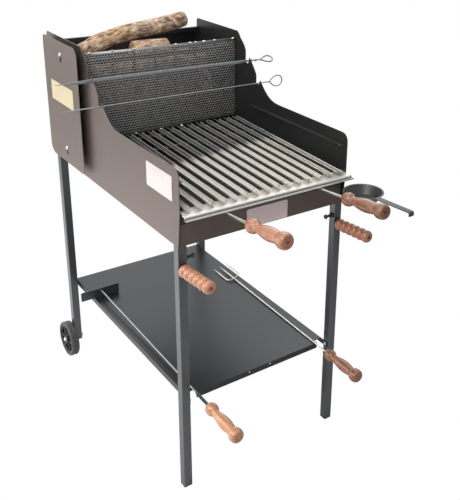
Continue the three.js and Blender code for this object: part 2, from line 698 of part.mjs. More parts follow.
function addShield() {
    const outer = -HALF - SHIELD_STAND_OFF;
    const shape = new THREE.Shape();
    shape.moveTo(SHIELD_FRONT + SHIELD_RADIUS / 2, SHIELD_BOTTOM);
    shape.lineTo(SHIELD_REAR - 2 * SHIELD_RADIUS, SHIELD_BOTTOM);
    shape.quadraticCurveTo(SHIELD_REAR, SHIELD_BOTTOM, SHIELD_REAR, SHIELD_BOTTOM + 2 * SHIELD_RADIUS);
    shape.lineTo(SHIELD_REAR, SHIELD_TOP - SHIELD_RADIUS);
    shape.quadraticCurveTo(SHIELD_REAR, SHIELD_TOP, SHIELD_REAR - SHIELD_RADIUS, SHIELD_TOP);
    shape.lineTo(SHIELD_FRONT + SHIELD_CHAMFER, SHIELD_TOP);
    shape.lineTo(SHIELD_FRONT, SHIELD_TOP - SHIELD_CHAMFER);
    shape.lineTo(SHIELD_FRONT, SHIELD_BOTTOM + SHIELD_RADIUS / 2);
    shape.holes.push(...KEYHOLE_HEIGHTS.map(keyhole));
    add('heat_shield', uprightPlate(shape, THIN_SHEET, outer), 'paint');
    const reach = SHIELD_STAND_OFF - THIN_SHEET - SEAT;
    const under = SHIELD_STAND_OFF + SEAT;
    const top = SHIELD_STAND_OFF + SHIELD_SCREW_HEAD_HEIGHT;
    const screw = [
        [SEAT, 0], [SEAT, SHIELD_SCREW_COLLAR / 2], [reach, SHIELD_SCREW_COLLAR / 2], [reach, SHIELD_SCREW_NECK / 2],
        [under, SHIELD_SCREW_NECK / 2], [under, SHIELD_SCREW_HEAD / 2], [top, SHIELD_SCREW_HEAD / 4], [top, 0],
    ];
    KEYHOLE_HEIGHTS.forEach((height, i) => {
        const place = at(-HALF, KEYHOLE_PLACE, height);
        add(`shield_screw_${i + 1}`, turned(screw, ROD_SIDES, place, at(-1, 0, 0)), 'zinc');
    });
}

// Legs and their feet

function squareTube(x, y, outer, wall, bottom, top) {
    const half = outer / 2;
    const hollow = half - wall;
    return cut(
        box(at(x - half, y - half, bottom), at(x + half, y + half, top)),
        box(at(x - hollow, y - hollow, bottom - OVERRUN), at(x + hollow, y + hollow, top + OVERRUN)),
    );
}

// Bolt along x through a leg: the places of its holes, from the leg's middle
const crossHole = (x, y, z, diameter) => rod(at(x - LEG, y, z), at(x + LEG, y, z), diameter / 2);

function addLegs() {
    const frontMiddle = LEG / 2;
    for (const [name, side] of [['left', -1], ['right', 1]]) {
        const x = side * LEG_MIDDLE;
        const inwards = at(-side, 0, 0);
        const inner = at(x - side * LEG / 2, 0, 0).x;
        const front = squareTube(x, frontMiddle, LEG, LEG_WALL, 0, LEG_TOP);
        const wallHole = (place, way, diameter) => drill(place, way, diameter + 2 * SEAT, LEG_WALL + OVERRUN);
        const clampHole = wallHole(at(inner, frontMiddle, CLAMP_HEIGHT), inwards, CLAMP_BOLT);
        const pushHole = wallHole(at(x, 0, PUSH_HANDLE_HEIGHT), at(0, -1, 0), PUSH_SCREW);
        const frontShelfHole = wallHole(at(inner, frontMiddle, shelfScrewHeight()), inwards, SHELF_SCREW);
        add(`leg_front_${name}`, cut(front, clampHole, pushHole, frontShelfHole), 'frame');
        const rear = squareTube(x, REAR_LEG_MIDDLE, LEG, LEG_WALL, REAR_LEG_BOTTOM, LEG_TOP);
        const axleHole = crossHole(x, AXLE_Y, WHEEL_RADIUS, AXLE + 2 * SEAT);
        const shelfHole = wallHole(at(inner, REAR_LEG_MIDDLE - LEG / 4, shelfScrewHeight()), inwards, SHELF_SCREW);
        add(`leg_rear_${name}`, cut(rear, axleHole, shelfHole), 'frame');
    }
    addFootPlugs();
}

function addFootPlugs() {
    const half = LEG / 2;
    const stem = half - LEG_WALL - SEAT;
    for (const [name, side] of [['left', -1], ['right', 1]]) {
        const x = side * LEG_MIDDLE;
        const head = box(at(x - half, 0, -PLUG_HEAD - SEAT), at(x + half, LEG, -SEAT));
        const body = box(at(x - stem, half - stem, -PLUG_HEAD), at(x + stem, half + stem, PLUG_DEPTH));
        add(`foot_plug_${name}`, join(head, body), 'plastic');
    }
}

// Bolts that clamp the front legs to their sockets, each with a nut on the leg's inner face
function addClampBolts() {
    for (const [name, side] of [['left', -1], ['right', 1]]) {
        const tip = LEG_WALL;
        const place = at(side * (LEG_MIDDLE - LEG / 2), LEG / 2, CLAMP_HEIGHT);
        const faces = [
            [tip, 0], [tip, CLAMP_BOLT / 2], [-SEAT, CLAMP_BOLT / 2], [-SEAT, CLAMP_NUT / 2],
            [-SEAT - CLAMP_NUT_HEIGHT, CLAMP_NUT / 2], [-SEAT - CLAMP_NUT_HEIGHT, CLAMP_BOLT / 2],
            [-CLAMP_STICK_OUT, CLAMP_BOLT / 2], [-CLAMP_STICK_OUT, CLAMP_NUT / 2],
            [-CLAMP_STICK_OUT - CLAMP_NUT_HEIGHT, CLAMP_NUT / 2], [-CLAMP_STICK_OUT - CLAMP_NUT_HEIGHT, 0],
        ];
        add(`clamp_bolt_${name}`, turned(faces, SMALL_SIDES, place, at(side, 0, 0)), 'iron');
    }
}

// Shelf between the legs

const shelfScrewHeight = () => SHELF_BOTTOM + SHELF_LIP / 2;

// Flat sheet with its four edges folded down; the side folds run on beside the front legs as ears
function addShelf() {
    const reach = HALF - LEG - SEAT;
    const fold = reach - THIN_SHEET;
    const path = [
        flat(reach, SHELF_BOTTOM), flat(reach, SHELF_TOP),
        flat(-reach, SHELF_TOP), flat(-reach, SHELF_BOTTOM),
    ];
    const sheet = runningSheet(filleted(path, BEND_RADIUS / 2), THIN_SHEET, SHELF_EAR, SHELF_REAR);
    const opening = (left, right, rear) => box(
        at(left, SHELF_EAR - OVERRUN, SHELF_BOTTOM - OVERRUN),
        at(right, rear, SHELF_TOP + OVERRUN),
    );
    const notchRear = SHELF_FRONT + SHELF_CORNER / 2;
    const openings = [
        opening(-fold, fold, SHELF_FRONT),
        opening(-fold, SHELF_CORNER - reach, notchRear),
        opening(reach - SHELF_CORNER, fold, notchRear),
    ];
    const crossFold = (half, y) => box(at(-half, y, SHELF_BOTTOM), at(half, y + THIN_SHEET, SHELF_TOP));
    const frontFold = crossFold(reach - SHELF_CORNER, SHELF_FRONT);
    const rearFold = crossFold(reach - BEND_RADIUS, SHELF_REAR - THIN_SHEET);
    const holePlace = (side) => at(side * SHELF_HOLE_SPREAD, SHELF_FRONT, SHELF_TOP - SHELF_LIP / 3);
    const holes = [-1, 1].map((side) => drill(holePlace(side), at(0, -1, 0), SHELF_HOLE, OVERRUN));
    const screwHoles = shelfScrewPlaces().map(([side, y]) => drill(
        at(side * reach, y, shelfScrewHeight()),
        at(side, 0, 0),
        SHELF_SCREW + 2 * SEAT,
        OVERRUN,
    ));
    add('shelf', cut(join(cut(sheet, ...openings), frontFold, rearFold), ...holes, ...screwHoles), 'frame');
    addShelfScrews();
}

function addShelfScrews() {
    const under = LEG_WALL + THIN_SHEET + 2 * SEAT;
    const top = under + SHELF_SCREW_HEAD_HEIGHT;
    const screw = [
        [2 * SEAT, 0], [2 * SEAT, SHELF_SCREW / 2], [under, SHELF_SCREW / 2],
        [under, SHELF_SCREW_HEAD / 2], [top, SHELF_SCREW_HEAD / 2], [top, 0],
    ];
    shelfScrewPlaces().forEach(([side, y], i) => {
        const place = at(side * (HALF - LEG + LEG_WALL), y, shelfScrewHeight());
        add(`shelf_screw_${i + 1}`, turned(screw, SMALL_SIDES, place, at(-side, 0, 0)), 'zinc');
    });
}

// Side and place along y of the four screws between the shelf's side folds and the legs
const shelfScrewPlaces = () => [-1, 1].flatMap((side) => (
    [LEG / 2, REAR_LEG_MIDDLE - LEG / 4].map((y) => [side, y])
));

// Wheels on bolts through the rear legs

function addWheels() {
    const rimRadius = WHEEL_RADIUS - TYRE_DEPTH;
    const rimInner = rimRadius - RIM_DEPTH;
    const half = WHEEL_WIDTH / 2;
    const edge = half - TYRE_ROUND;
    const shoulder = WHEEL_RADIUS - TYRE_ROUND;
    const bore = AXLE / 2 + RUNNING;
    for (const [name, side] of [['left', -1], ['right', 1]]) {
        const outwards = at(side, 0, 0);
        const legFace = at(side * HALF, AXLE_Y, WHEEL_RADIUS);
        const middle = legFace.clone().addScaledVector(outwards, SEAT + HUB_END + half);
        const [bulge, tread] = [edge + TYRE_ROUND / 3, WHEEL_RADIUS - TYRE_ROUND / 3];
        const tyre = [
            [-half, rimRadius + SEAT], [-half, shoulder], [-bulge, tread], [-edge, WHEEL_RADIUS],
            [edge, WHEEL_RADIUS], [bulge, tread], [half, shoulder], [half, rimRadius + SEAT],
            [-half, rimRadius + SEAT],
        ];
        add(`tyre_${name}`, turned(tyre, WHEEL_SIDES, middle, outwards), 'rubber');
        const away = (distance) => middle.clone().addScaledVector(outwards, distance);
        const ring = [
            [-edge, rimInner], [-edge, rimRadius], [edge, rimRadius], [edge, rimInner], [-edge, rimInner],
        ];
        const rim = turned(ring, WHEEL_SIDES, middle, outwards);
        const barrel = rod(away(-half - HUB_END), away(half), HUB_RADIUS, WHEEL_SIDES / 2);
        const spokes = Array.from({ length: SPOKES }, (_, i) => {
            const spoke = new THREE.BoxGeometry(SPOKE_DEPTH, SPOKE_WIDTH, rimInner);
            spoke.translate(0, 0, (rimInner + RIM_DEPTH) / 2).rotateX(i * TAU / SPOKES);
            return spoke.translate(middle.x, middle.y, middle.z);
        });
        const axleHole = rod(away(-WHEEL_WIDTH), away(WHEEL_WIDTH), bore, ROD_SIDES);
        add(`wheel_hub_${name}`, cut(join(rim, barrel, ...spokes), axleHole), 'plastic');
        const headAt = SEAT + HUB_END + WHEEL_WIDTH + RUNNING;
        const nutAt = -LEG - SEAT;
        const inner = nutAt - AXLE_HEAD_HEIGHT;
        const outer = headAt + AXLE_HEAD_HEIGHT;
        const bolt = [
            [inner, 0], [inner, AXLE_HEAD / 2], [nutAt, AXLE_HEAD / 2], [nutAt, AXLE / 2],
            [headAt, AXLE / 2], [headAt, AXLE_HEAD / 2], [outer, AXLE_HEAD / 2], [outer, 0],
        ];
        add(`axle_bolt_${name}`, turned(bolt, ROD_SIDES, legFace, outwards), 'zinc');
    }
}

// Grate, made flat and then tilted onto its slope

const onSlope = (geometry) => geometry.rotateX(GRATE_SLOPE).translate(0, GRATE_FRONT, GRATE_HEIGHT);

// One channel bar: a folded strip with a narrow flat at the bottom
function channelBar(x) {
    const half = CHANNEL_WIDTH / 2;
    const path = [
        flat(x - half, CHANNEL_DEPTH), flat(x - CHANNEL_FLAT / 2, 0),
        flat(x + CHANNEL_FLAT / 2, 0), flat(x + half, CHANNEL_DEPTH),
    ];
    return runningSheet(path, CHANNEL_WALL, 0, GRATE_LENGTH).translate(0, 0, SEAT);
}

function addGrate() {
    const first = GRATE_FIRST_BAR - HALF;
    const bars = Array.from({ length: GRATE_BARS }, (_, i) => onSlope(channelBar(first + i * GRATE_PITCH)));
    const straps = STRAP_PLACES.map((y) => onSlope(box(
        at(PLATE_SIDE_GAP - HALF, y - STRAP_WIDTH / 2, -PLATE_THICKNESS),
        at(HALF - PLATE_SIDE_GAP, y + STRAP_WIDTH / 2, BITE),
    )));
    add('grate_bars', join(...bars, ...straps), 'steel');
    const nose = -PLATE_NOSE;
    const gutterFloor = -GUTTER_DROP;
    const path = [
        flat(nose - GUTTER_WIDTH, gutterFloor + GUTTER_LIP), flat(nose - GUTTER_WIDTH, gutterFloor),
        flat(nose, gutterFloor), flat(nose, -PLATE_THICKNESS), flat(PLATE_REAR, -PLATE_THICKNESS),
    ];
    const plate = lyingSheet(filleted(path, GUTTER_BEND), PLATE_THICKNESS, -HALF, HALF);
    const sides = [-1, 1].map((side) => box(
        at(side < 0 ? -HALF - OVERRUN : HALF - PLATE_SIDE_GAP, nose + GUTTER_WIDTH, -GUTTER_DROP),
        at(side < 0 ? PLATE_SIDE_GAP - HALF : HALF + OVERRUN, PLATE_REAR + OVERRUN, GUTTER_DROP),
    ));
    add('grate_gutter', onSlope(cut(plate, ...sides)), 'steel');
}

// Turned wooden handle with a blind hole for its rod and a through hole at the end
function woodenHandle(start, direction, scale, bore) {
    const length = HANDLE_LENGTH * scale;
    const pairs = HANDLE_PROFILE_SHARES.map(([along, radius]) => [along * length, radius * HANDLE_RADIUS * scale]);
    return turned([...pairs, [length, bore], [0, bore], pairs[0]], WOOD_SIDES, start, direction);
}

// How far a rod goes into its handle
const boreDepth = () => HANDLE_LENGTH - HANDLE_BLIND_END;

function addGrateHandles() {
    const rise = radians(GRATE_HANDLE_RISE_DEGREES);
    const direction = at(0, -Math.cos(rise), Math.sin(rise));
    const reach = (GRATE_HANDLE_FRONT - HANDLE_LENGTH * Math.cos(rise));
    const rodRadius = HANDLE_ROD / 2;
    const plateBottom = GRATE_HEIGHT - GUTTER_DROP;
    const passY = GRATE_FRONT - PLATE_NOSE - GUTTER_WIDTH;
    const passZ = plateBottom - rodRadius - 2 * SEAT + (passY - GRATE_FRONT) * Math.tan(GRATE_SLOPE);
    for (const [name, side] of [['left', -1], ['right', 1]]) {
        const x = side * GRATE_HANDLE_SPREAD;
        const pass = at(x, passY, passZ);
        const start = pass.clone().addScaledVector(direction, (reach + passY) / Math.cos(rise));
        const end = start.clone().addScaledVector(direction, boreDepth());
        const back = at(x, GRATE_FRONT + GRATE_ROD_REAR, plateBottom - rodRadius - SEAT);
        const under = at(x, GRATE_FRONT - PLATE_NOSE, back.z);
        const curve = new THREE.CatmullRomCurve3([end, start, pass, under, back], false, 'centripetal');
        add(`grate_handle_rod_${name}`, wire(curve, HANDLE_ROD, ROD_SIDES, 2 * ROD_SIDES), 'steel');
        add(`grate_handle_${name}`, woodenHandle(start, direction, 1, rodRadius + SEAT), 'wood');
    }
}

// Beaded push handles

function beadProfile() {
    const pitch = PUSH_HANDLE_LENGTH / BEADS;
    const neck = BEAD_RADIUS * BEAD_NECK_SHARE;
    const shoulder = BEAD_RADIUS * BEAD_SHOULDER_SHARE;
    return Array.from({ length: BEADS }, (_, i) => [
        [i * pitch, neck], [(i + 1 / 5) * pitch, shoulder],
        [(i + 1 / 2) * pitch, BEAD_RADIUS], [(i + 4 / 5) * pitch, shoulder],
    ]).flat().concat([[PUSH_HANDLE_LENGTH, neck]]);
}

function addPushHandles() {
    const rise = radians(PUSH_HANDLE_RISE_DEGREES);
    const direction = at(0, -Math.cos(rise), Math.sin(rise));
    const clear = (BEAD_RADIUS * BEAD_NECK_SHARE) * Math.sin(rise) + SEAT;
    const bore = PUSH_SCREW / 2 + SEAT;
    const sunk = PUSH_HANDLE_LENGTH - PUSH_SCREW_SUNK;
    const headBore = PUSH_SCREW_HEAD / 2 + SEAT;
    for (const [name, side] of [['left', -1], ['right', 1]]) {
        const foot = at(side * LEG_MIDDLE, 0, PUSH_HANDLE_HEIGHT).addScaledVector(direction, clear);
        const beads = beadProfile();
        const inside = [[PUSH_HANDLE_LENGTH, headBore], [sunk, headBore], [sunk, bore], [0, bore]];
        add(`push_handle_${name}`, turned([...beads, ...inside, beads[0]], WOOD_SIDES, foot, direction), 'wood');
        const [tip, under, top] = [-clear - LEG_WALL, sunk + SEAT, sunk + PUSH_SCREW_SUNK / 3];
        add(`push_handle_screw_${name}`, turned([
            [tip, 0], [tip, PUSH_SCREW / 2 - SEAT], [under, PUSH_SCREW / 2 - SEAT],
            [under, PUSH_SCREW_HEAD / 2], [top, PUSH_SCREW_HEAD / 2], [top, 0],
        ], SMALL_SIDES, foot, direction), 'zinc');
    }
}

// Grease pan under the open end of the gutter

const panMiddle = () => at(HALF + PAN_OUTWARD, -PAN_FORWARD, PAN_RIM_HEIGHT);

// Outer radius of the pan's wall at a depth below its rim
const panRadius = (depth) => THREE.MathUtils.lerp(PAN_RADIUS - PAN_LIP, PAN_BASE_RADIUS, depth / PAN_DEPTH);

function addPan() {
    const bottom = -PAN_DEPTH;
    const base = PAN_BASE_RADIUS - PAN_LIP;
    const bulge = panRadius(PAN_DEPTH - PAN_LIP);
    const pan = turned([
        [bottom, 0], [bottom, base], [bottom + PAN_LIP, bulge],
        [-PAN_WALL, panRadius(PAN_WALL)], [-PAN_WALL, PAN_RADIUS], [0, PAN_RADIUS], [0, PAN_RADIUS - PAN_LIP - PAN_WALL],
        [bottom + PAN_LIP + PAN_WALL, bulge - PAN_WALL], [bottom + PAN_WALL, base - PAN_WALL], [bottom + PAN_WALL, 0],
    ], PAN_SIDES, panMiddle(), Z);
    const rise = radians(PAN_HANDLE_RISE_DEGREES);
    const half = PAN_HANDLE_WIDTH / 2;
    const reach = PAN_RADIUS * Math.cos(Math.asin(half / PAN_RADIUS)) - BITE;
    const bar = [flat(0, 0), flat(-PAN_HANDLE_LENGTH, 0), flat(-PAN_HANDLE_LENGTH, -PAN_HOOK)];
    const strip = lyingSheet(filleted(bar, PAN_HANDLE_BEND), PAN_HANDLE_THICKNESS, -half, half);
    strip.rotateX(-rise).translate(0, -reach, 0).rotateZ(radians(PAN_HANDLE_TURN_DEGREES));
    const place = panMiddle();
    add('grease_pan', join(pan, strip.translate(place.x, place.y, place.z)), 'iron');
    addPanTongue();
}

// Bracket on the right panel's outer face, whose lower edge runs forward as a tongue under the pan
function addPanTongue() {
    const top = PAN_RIM_HEIGHT - PAN_DEPTH - SEAT;
    const bottom = top - TONGUE_THICKNESS;
    const inner = HALF + SEAT;
    const path = [flat(inner, bottom + TONGUE_FLANGE), flat(inner, bottom), flat(inner + TONGUE_WIDTH, bottom)];
    const angle = runningSheet(filleted(path, BEND_RADIUS), TONGUE_THICKNESS, -TONGUE_REACH, TONGUE_FLANGE_REAR);
    const clear = box(
        at(HALF, -TONGUE_REACH - OVERRUN, top),
        at(inner + BEND_RADIUS, TONGUE_FLANGE_FRONT, bottom + TONGUE_FLANGE + OVERRUN),
    );
    add('pan_tongue', cut(angle, clear), 'paint');
}

// Skewers across the notches

const notchMiddle = (notch) => notch.spike + (NOTCH_SLANT + NOTCH_WIDTH) / 2;

// Loop of wire from a point to its far end and back, as two mirrored halves; the sideways axis sets its plane
function wireLoop(start, length, width, sideways, shares, thickness) {
    return [-1, 1].map((side) => {
        const place = (along, across) => start.clone()
            .addScaledVector(X, along).addScaledVector(sideways, side * across);
        const points = shares.map(([along, across]) => place(along * length, across * width));
        points.push(place(length, -BITE));
        return wire(new THREE.CatmullRomCurve3(points), thickness, SMALL_SIDES, LOOP_STEPS);
    });
}

function addSkewers() {
    const flatMiddle = HIGH_NOTCH.floor + SEAT + FLAT_SKEWER_HEIGHT / 2;
    const y = notchMiddle(HIGH_NOTCH);
    const half = FLAT_SKEWER_HEIGHT / 2;
    const tip = FLAT_SKEWER_POINT - FLAT_SKEWER_TIP;
    const outline = new THREE.Shape([
        flat(-FLAT_SKEWER_TIP, 0), flat(tip, -half), flat(FLAT_SKEWER_BLADE_END, -half),
        flat(FLAT_SKEWER_BLADE_END, half), flat(tip, half),
    ]);
    const blade = new THREE.ExtrudeGeometry(outline, { depth: FLAT_SKEWER_THICKNESS, bevelEnabled: false })
        .rotateX(Math.PI / 2).translate(0, y + FLAT_SKEWER_THICKNESS / 2, flatMiddle);
    const shankStart = at(FLAT_SKEWER_BLADE_END - half, y, flatMiddle);
    const shank = rod(shankStart, at(FLAT_SKEWER_SHANK + half, y, flatMiddle), FLAT_SKEWER_WIRE / 2);
    const loopLength = SKEWER_REACH - FLAT_SKEWER_SHANK;
    const tilt = radians(FLAT_LOOP_TILT_DEGREES);
    const neck = at(FLAT_SKEWER_SHANK, y, flatMiddle);
    const sideways = at(0, Math.cos(tilt), Math.sin(tilt));
    const flatLoop = wireLoop(neck, loopLength, FLAT_LOOP_WIDTH, sideways, FLAT_LOOP_SHARES, FLAT_SKEWER_WIRE);
    add('skewer_flat', join(blade, shank, ...flatLoop), 'darkSteel');

    const roundMiddle = LOW_NOTCH.floor + SEAT + ROUND_SKEWER / 2;
    const lowY = notchMiddle(LOW_NOTCH);
    const shankEnd = ROUND_SKEWER_TIP + ROUND_SKEWER_SHANK + ROUND_SKEWER;
    const needle = turned([
        [0, 0], [ROUND_SKEWER_POINT, ROUND_SKEWER / 2], [shankEnd, ROUND_SKEWER / 2], [shankEnd, 0],
    ], ROD_SIDES, at(-ROUND_SKEWER_TIP, lowY, roundMiddle), X);
    const roundNeck = at(ROUND_SKEWER_SHANK, lowY, roundMiddle);
    const roundLength = ROUND_SKEWER_REACH - ROUND_SKEWER_SHANK;
    const roundLoop = wireLoop(roundNeck, roundLength, ROUND_LOOP_WIDTH, Z, ROUND_LOOP_SHARES, ROUND_SKEWER);
    add('skewer_round', join(needle, ...roundLoop), 'steel');
}

// Rake lying on the shelf and over its left and front edges

function addRake() {
    const bladeBottom = SHELF_TOP + SEAT;
    const blade = box(
        at(RAKE_BLADE_LEFT, RAKE_BLADE_Y, bladeBottom),
        at(RAKE_BLADE_RIGHT, RAKE_BLADE_Y + RAKE_BLADE_THICKNESS, bladeBottom + RAKE_BLADE_HEIGHT),
    );
    const rear = at(RAKE_X, RAKE_BLADE_Y + BITE, bladeBottom + RAKE_ROD_UP);
    const lip = at(RAKE_X, SHELF_FRONT, SHELF_TOP + RAKE_SLEEVE / 2 + 2 * SEAT);
    const direction = lip.clone().sub(rear).normalize();
    const start = rear.clone().addScaledVector(direction, (RAKE_BLADE_Y + RAKE_HANDLE_START) / -direction.y);
    const sleeveStart = start.clone().addScaledVector(direction, -RAKE_SLEEVE_LENGTH);
    const end = start.clone().addScaledVector(direction, boreDepth() * TOOL_HANDLE_SCALE_SHARE);
    const sleeve = rod(sleeveStart, end, RAKE_SLEEVE / 2);
    add('rake', join(blade, rod(rear, start, RAKE_ROD / 2), sleeve), 'darkSteel');
    add('rake_handle', woodenHandle(start, direction, TOOL_HANDLE_SCALE_SHARE, RAKE_SLEEVE / 2 + SEAT), 'wood');
}

// Fork lying over the shelf's front edge with its prongs on the shelf

function addFork() {
    const rear = at(FORK_REAR_X, FORK_JOINT_Y, SHELF_TOP + FORK_LEVEL);
    const lip = at(FORK_X, SHELF_FRONT, SHELF_TOP + FORK_ROD / 2 + 2 * SEAT);
    const direction = lip.clone().sub(rear).normalize();
    const start = rear.clone().addScaledVector(direction, (FORK_JOINT_Y + FORK_HANDLE_START) / -direction.y);
    const end = start.clone().addScaledVector(direction, boreDepth() * TOOL_HANDLE_SCALE_SHARE);
    const tip = rear.clone().addScaledVector(direction, -FORK_PRONG);
    const shaft = rod(tip, end, FORK_ROD / 2);
    const roll = radians(FORK_ROLL_DEGREES);
    const sideways = at(Math.cos(roll), 0, Math.sin(roll));
    const normal = at(-Math.sin(roll), 0, Math.cos(roll));
    const place = (across, along) => rear.clone()
        .addScaledVector(sideways, across).addScaledVector(direction, -along).addScaledVector(normal, FORK_ROD - BITE);
    const yoke = [
        place(-FORK_SPREAD, FORK_PRONG), place(-FORK_SPREAD, FORK_SHOULDER * 2), place(-FORK_SPREAD, FORK_SHOULDER),
        place(-FORK_SPREAD + FORK_SHOULDER, 0), place(0, 0), place(FORK_SPREAD - FORK_SHOULDER, 0),
        place(FORK_SPREAD, FORK_SHOULDER), place(FORK_SPREAD, FORK_SHOULDER * 2), place(FORK_SPREAD, FORK_PRONG),
    ];
    const curve = new THREE.CatmullRomCurve3(yoke, false, 'centripetal');
    add('fork', join(shaft, wire(curve, FORK_ROD, SMALL_SIDES, 3 * ROD_SIDES)), 'steel');
    add('fork_handle', woodenHandle(start, direction, TOOL_HANDLE_SCALE_SHARE, FORK_ROD / 2 + SEAT), 'wood');
}

// Firewood stacked in the basket

// A log with a few lumps inside its radius; a bend lifts it most at a third of its length
function logGeometry(radius, length, phase, bend = 0) {
    const log = new THREE.CylinderGeometry(radius, radius, length, LOG_SIDES, LOG_RINGS);
    const position = log.attributes.position;
    for (let i = 0; i < position.count; i += 1) {
        const [x, along, z] = [position.getX(i), position.getY(i), position.getZ(i)];
        const angle = Math.atan2(z, x);
        const wave = Math.sin(2 * angle + phase) + Math.cos(3 * angle - 2 * phase + along / radius);
        const share = 1 - LOG_LUMP_SHARE * (1 + wave / 2);
        const t = along / length + 1 / 2;
        position.setX(i, x * share);
        position.setZ(i, z * share + bend * BEND_NORM_SHARE * t * (1 - t) ** 2);
    }
    return closed(log);
}

// Middle of a log that rests on two others, each given by its place in y and z and its radius
function resting(a, b, radius) {
    const [da, db] = [a.r + radius + SEAT, b.r + radius + SEAT];
    const between = flat(b.y - a.y, b.z - a.z);
    const gap = between.length();
    const along = (da ** 2 - db ** 2 + gap ** 2) / (2 * gap);
    const up = Math.sqrt(da ** 2 - along ** 2);
    const unit = between.normalize();
    return { y: a.y + along * unit.x - up * unit.y, z: a.z + along * unit.y + up * unit.x, r: radius };
}

// Lowers a log until it rests on the pile, and adds it to the pile
function dropLog(name, log, pile) {
    const reach = 2 * LOG_LIFT;
    let solid = toSolid(log).translate([0, 0, LOG_LIFT]);
    for (let i = 0; i < LOG_DROPS; i += 1) {
        solid = solid.translate([0, 0, SEAT - solid.minGap(pile, reach)]);
    }
    add(name, toGeometry(solid), 'bark');
    return pile.add(solid);
}

const lyingLog = (log, length, x, phase) => aim(logGeometry(log.r, length, phase), at(x, log.y, log.z), X);

function addFirewood(basket) {
    const front = RAIL_BACK + 2 * SEAT;
    const rear = REAR_WALL_FRONT - 2 * SEAT;
    const height = BASKET_TOP + LOG_BOTTOM_RADIUS;
    const places = [front + LOG_BOTTOM_RADIUS, rear - LOG_BOTTOM_RADIUS];
    const low = places.map((y) => ({ y, z: height, r: LOG_BOTTOM_RADIUS }));
    let pile = toSolid(basket.geometry);
    pile = dropLog('log_low_front', lyingLog(low[0], LOG_LENGTH, LOG_SHIFT, 0), pile);
    pile = dropLog('log_low_rear', lyingLog(low[1], LOG_LENGTH, LOG_SHIFT, 2), pile);
    const y = front + LOG_FRONT_RADIUS;
    const reach = low[0].r + LOG_FRONT_RADIUS;
    const frontLog = { y, z: low[0].z + Math.sqrt(reach ** 2 - (low[0].y - y) ** 2), r: LOG_FRONT_RADIUS };
    pile = dropLog('log_front', lyingLog(frontLog, LOG_FRONT_LENGTH, LOG_SHIFT, 4), pile);
    const rearLog = resting(low[0], low[1], LOG_REAR_RADIUS);
    pile = dropLog('log_rear', lyingLog(rearLog, LOG_FRONT_LENGTH, LOG_SHIFT, 6), pile);
    const lean = radians(LOG_LEANING_RISE_DEGREES);
    const turn = radians(LOG_LEANING_TURN_DEGREES);
    const direction = at(Math.cos(lean) * Math.cos(turn), Math.cos(lean) * Math.sin(turn), Math.sin(lean));
    const second = resting(frontLog, rearLog, LOG_SECOND_RADIUS);
    const secondX = LOG_SECOND_END - LOG_SECOND_LENGTH / 2;
    pile = dropLog('log_second', lyingLog(second, LOG_SECOND_LENGTH, secondX, 2), pile);
    const leaning = logGeometry(LOG_LEANING_RADIUS, LOG_LEANING_LENGTH, 1, LOG_LEANING_BEND);
    const clear = second.z + second.r + LOG_LEANING_RADIUS + LOG_LIFT;
    const place = at(LOG_LEANING_X, second.y + LOG_LEANING_BACK, clear);
    dropLog('log_leaning', aim(leaning, place, direction), pile);
}

addSidePanels();
addFloor();
addFrontPanel();
addRearWall();
addLedges();
addScreen();
const basket = addBasket();
addShield();
addLegs();
addClampBolts();
addShelf();
addWheels();
addGrate();
addGrateHandles();
addPushHandles();
addPan();
addSkewers();
addRake();
addFork();
addFirewood(basket);

// The finished model stands with the middle of its bottom at the origin
const bounds = new THREE.Box3().setFromObject(grill);
const middle = bounds.getCenter(at(0, 0, 0));
grill.position.set(-middle.x, -middle.y, -bounds.min.z);
grill.updateMatrixWorld(true);

export default grill;
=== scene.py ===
"""Looks of the charcoal grill: camera, light, finishes and the detailed pieces that stand for CAD solids."""

import math

import bmesh
import bpy
import numpy as np
from mathutils import Matrix, Vector, noise


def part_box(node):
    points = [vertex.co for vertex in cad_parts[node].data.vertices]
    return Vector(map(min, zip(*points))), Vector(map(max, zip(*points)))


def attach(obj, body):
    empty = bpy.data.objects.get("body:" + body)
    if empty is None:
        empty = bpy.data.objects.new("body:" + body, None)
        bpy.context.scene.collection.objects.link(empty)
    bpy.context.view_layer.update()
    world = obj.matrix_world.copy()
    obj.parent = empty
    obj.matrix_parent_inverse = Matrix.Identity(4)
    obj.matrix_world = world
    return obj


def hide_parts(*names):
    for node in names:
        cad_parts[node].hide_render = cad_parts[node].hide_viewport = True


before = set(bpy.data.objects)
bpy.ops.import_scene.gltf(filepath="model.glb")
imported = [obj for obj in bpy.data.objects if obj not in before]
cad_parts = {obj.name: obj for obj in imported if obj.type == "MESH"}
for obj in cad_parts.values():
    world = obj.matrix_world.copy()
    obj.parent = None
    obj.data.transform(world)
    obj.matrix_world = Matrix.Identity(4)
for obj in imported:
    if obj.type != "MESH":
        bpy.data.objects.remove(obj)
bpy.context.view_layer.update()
scene = bpy.context.scene

# Places are millimetres: x across from the middle, y back from the front legs, z up from the legs' feet
MM = 0.001
TAU = 2 * math.pi
SIDES = (("left", -1), ("right", 1))
LEFT_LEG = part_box("leg_front_left")
RIGHT_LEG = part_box("leg_front_right")
ORIGIN = Vector(((LEFT_LEG[0][0] + RIGHT_LEG[1][0]) / 2, LEFT_LEG[0][1], LEFT_LEG[0][2]))

# Camera, solved from straight edges of the box and stand, from the left front leg's outer corner
IMAGE = (460, 500)
SENSOR = 36.0
FOCAL_PIXELS = 768.03
PRINCIPAL = (324.14, 161.94)
CAMERA_PLACE = (-1093.78, -1586.04, 1667.05)
CAMERA_AZIMUTH = 39.13
CAMERA_ELEVATION = 20.30
CAMERA_ROLL = 2.45

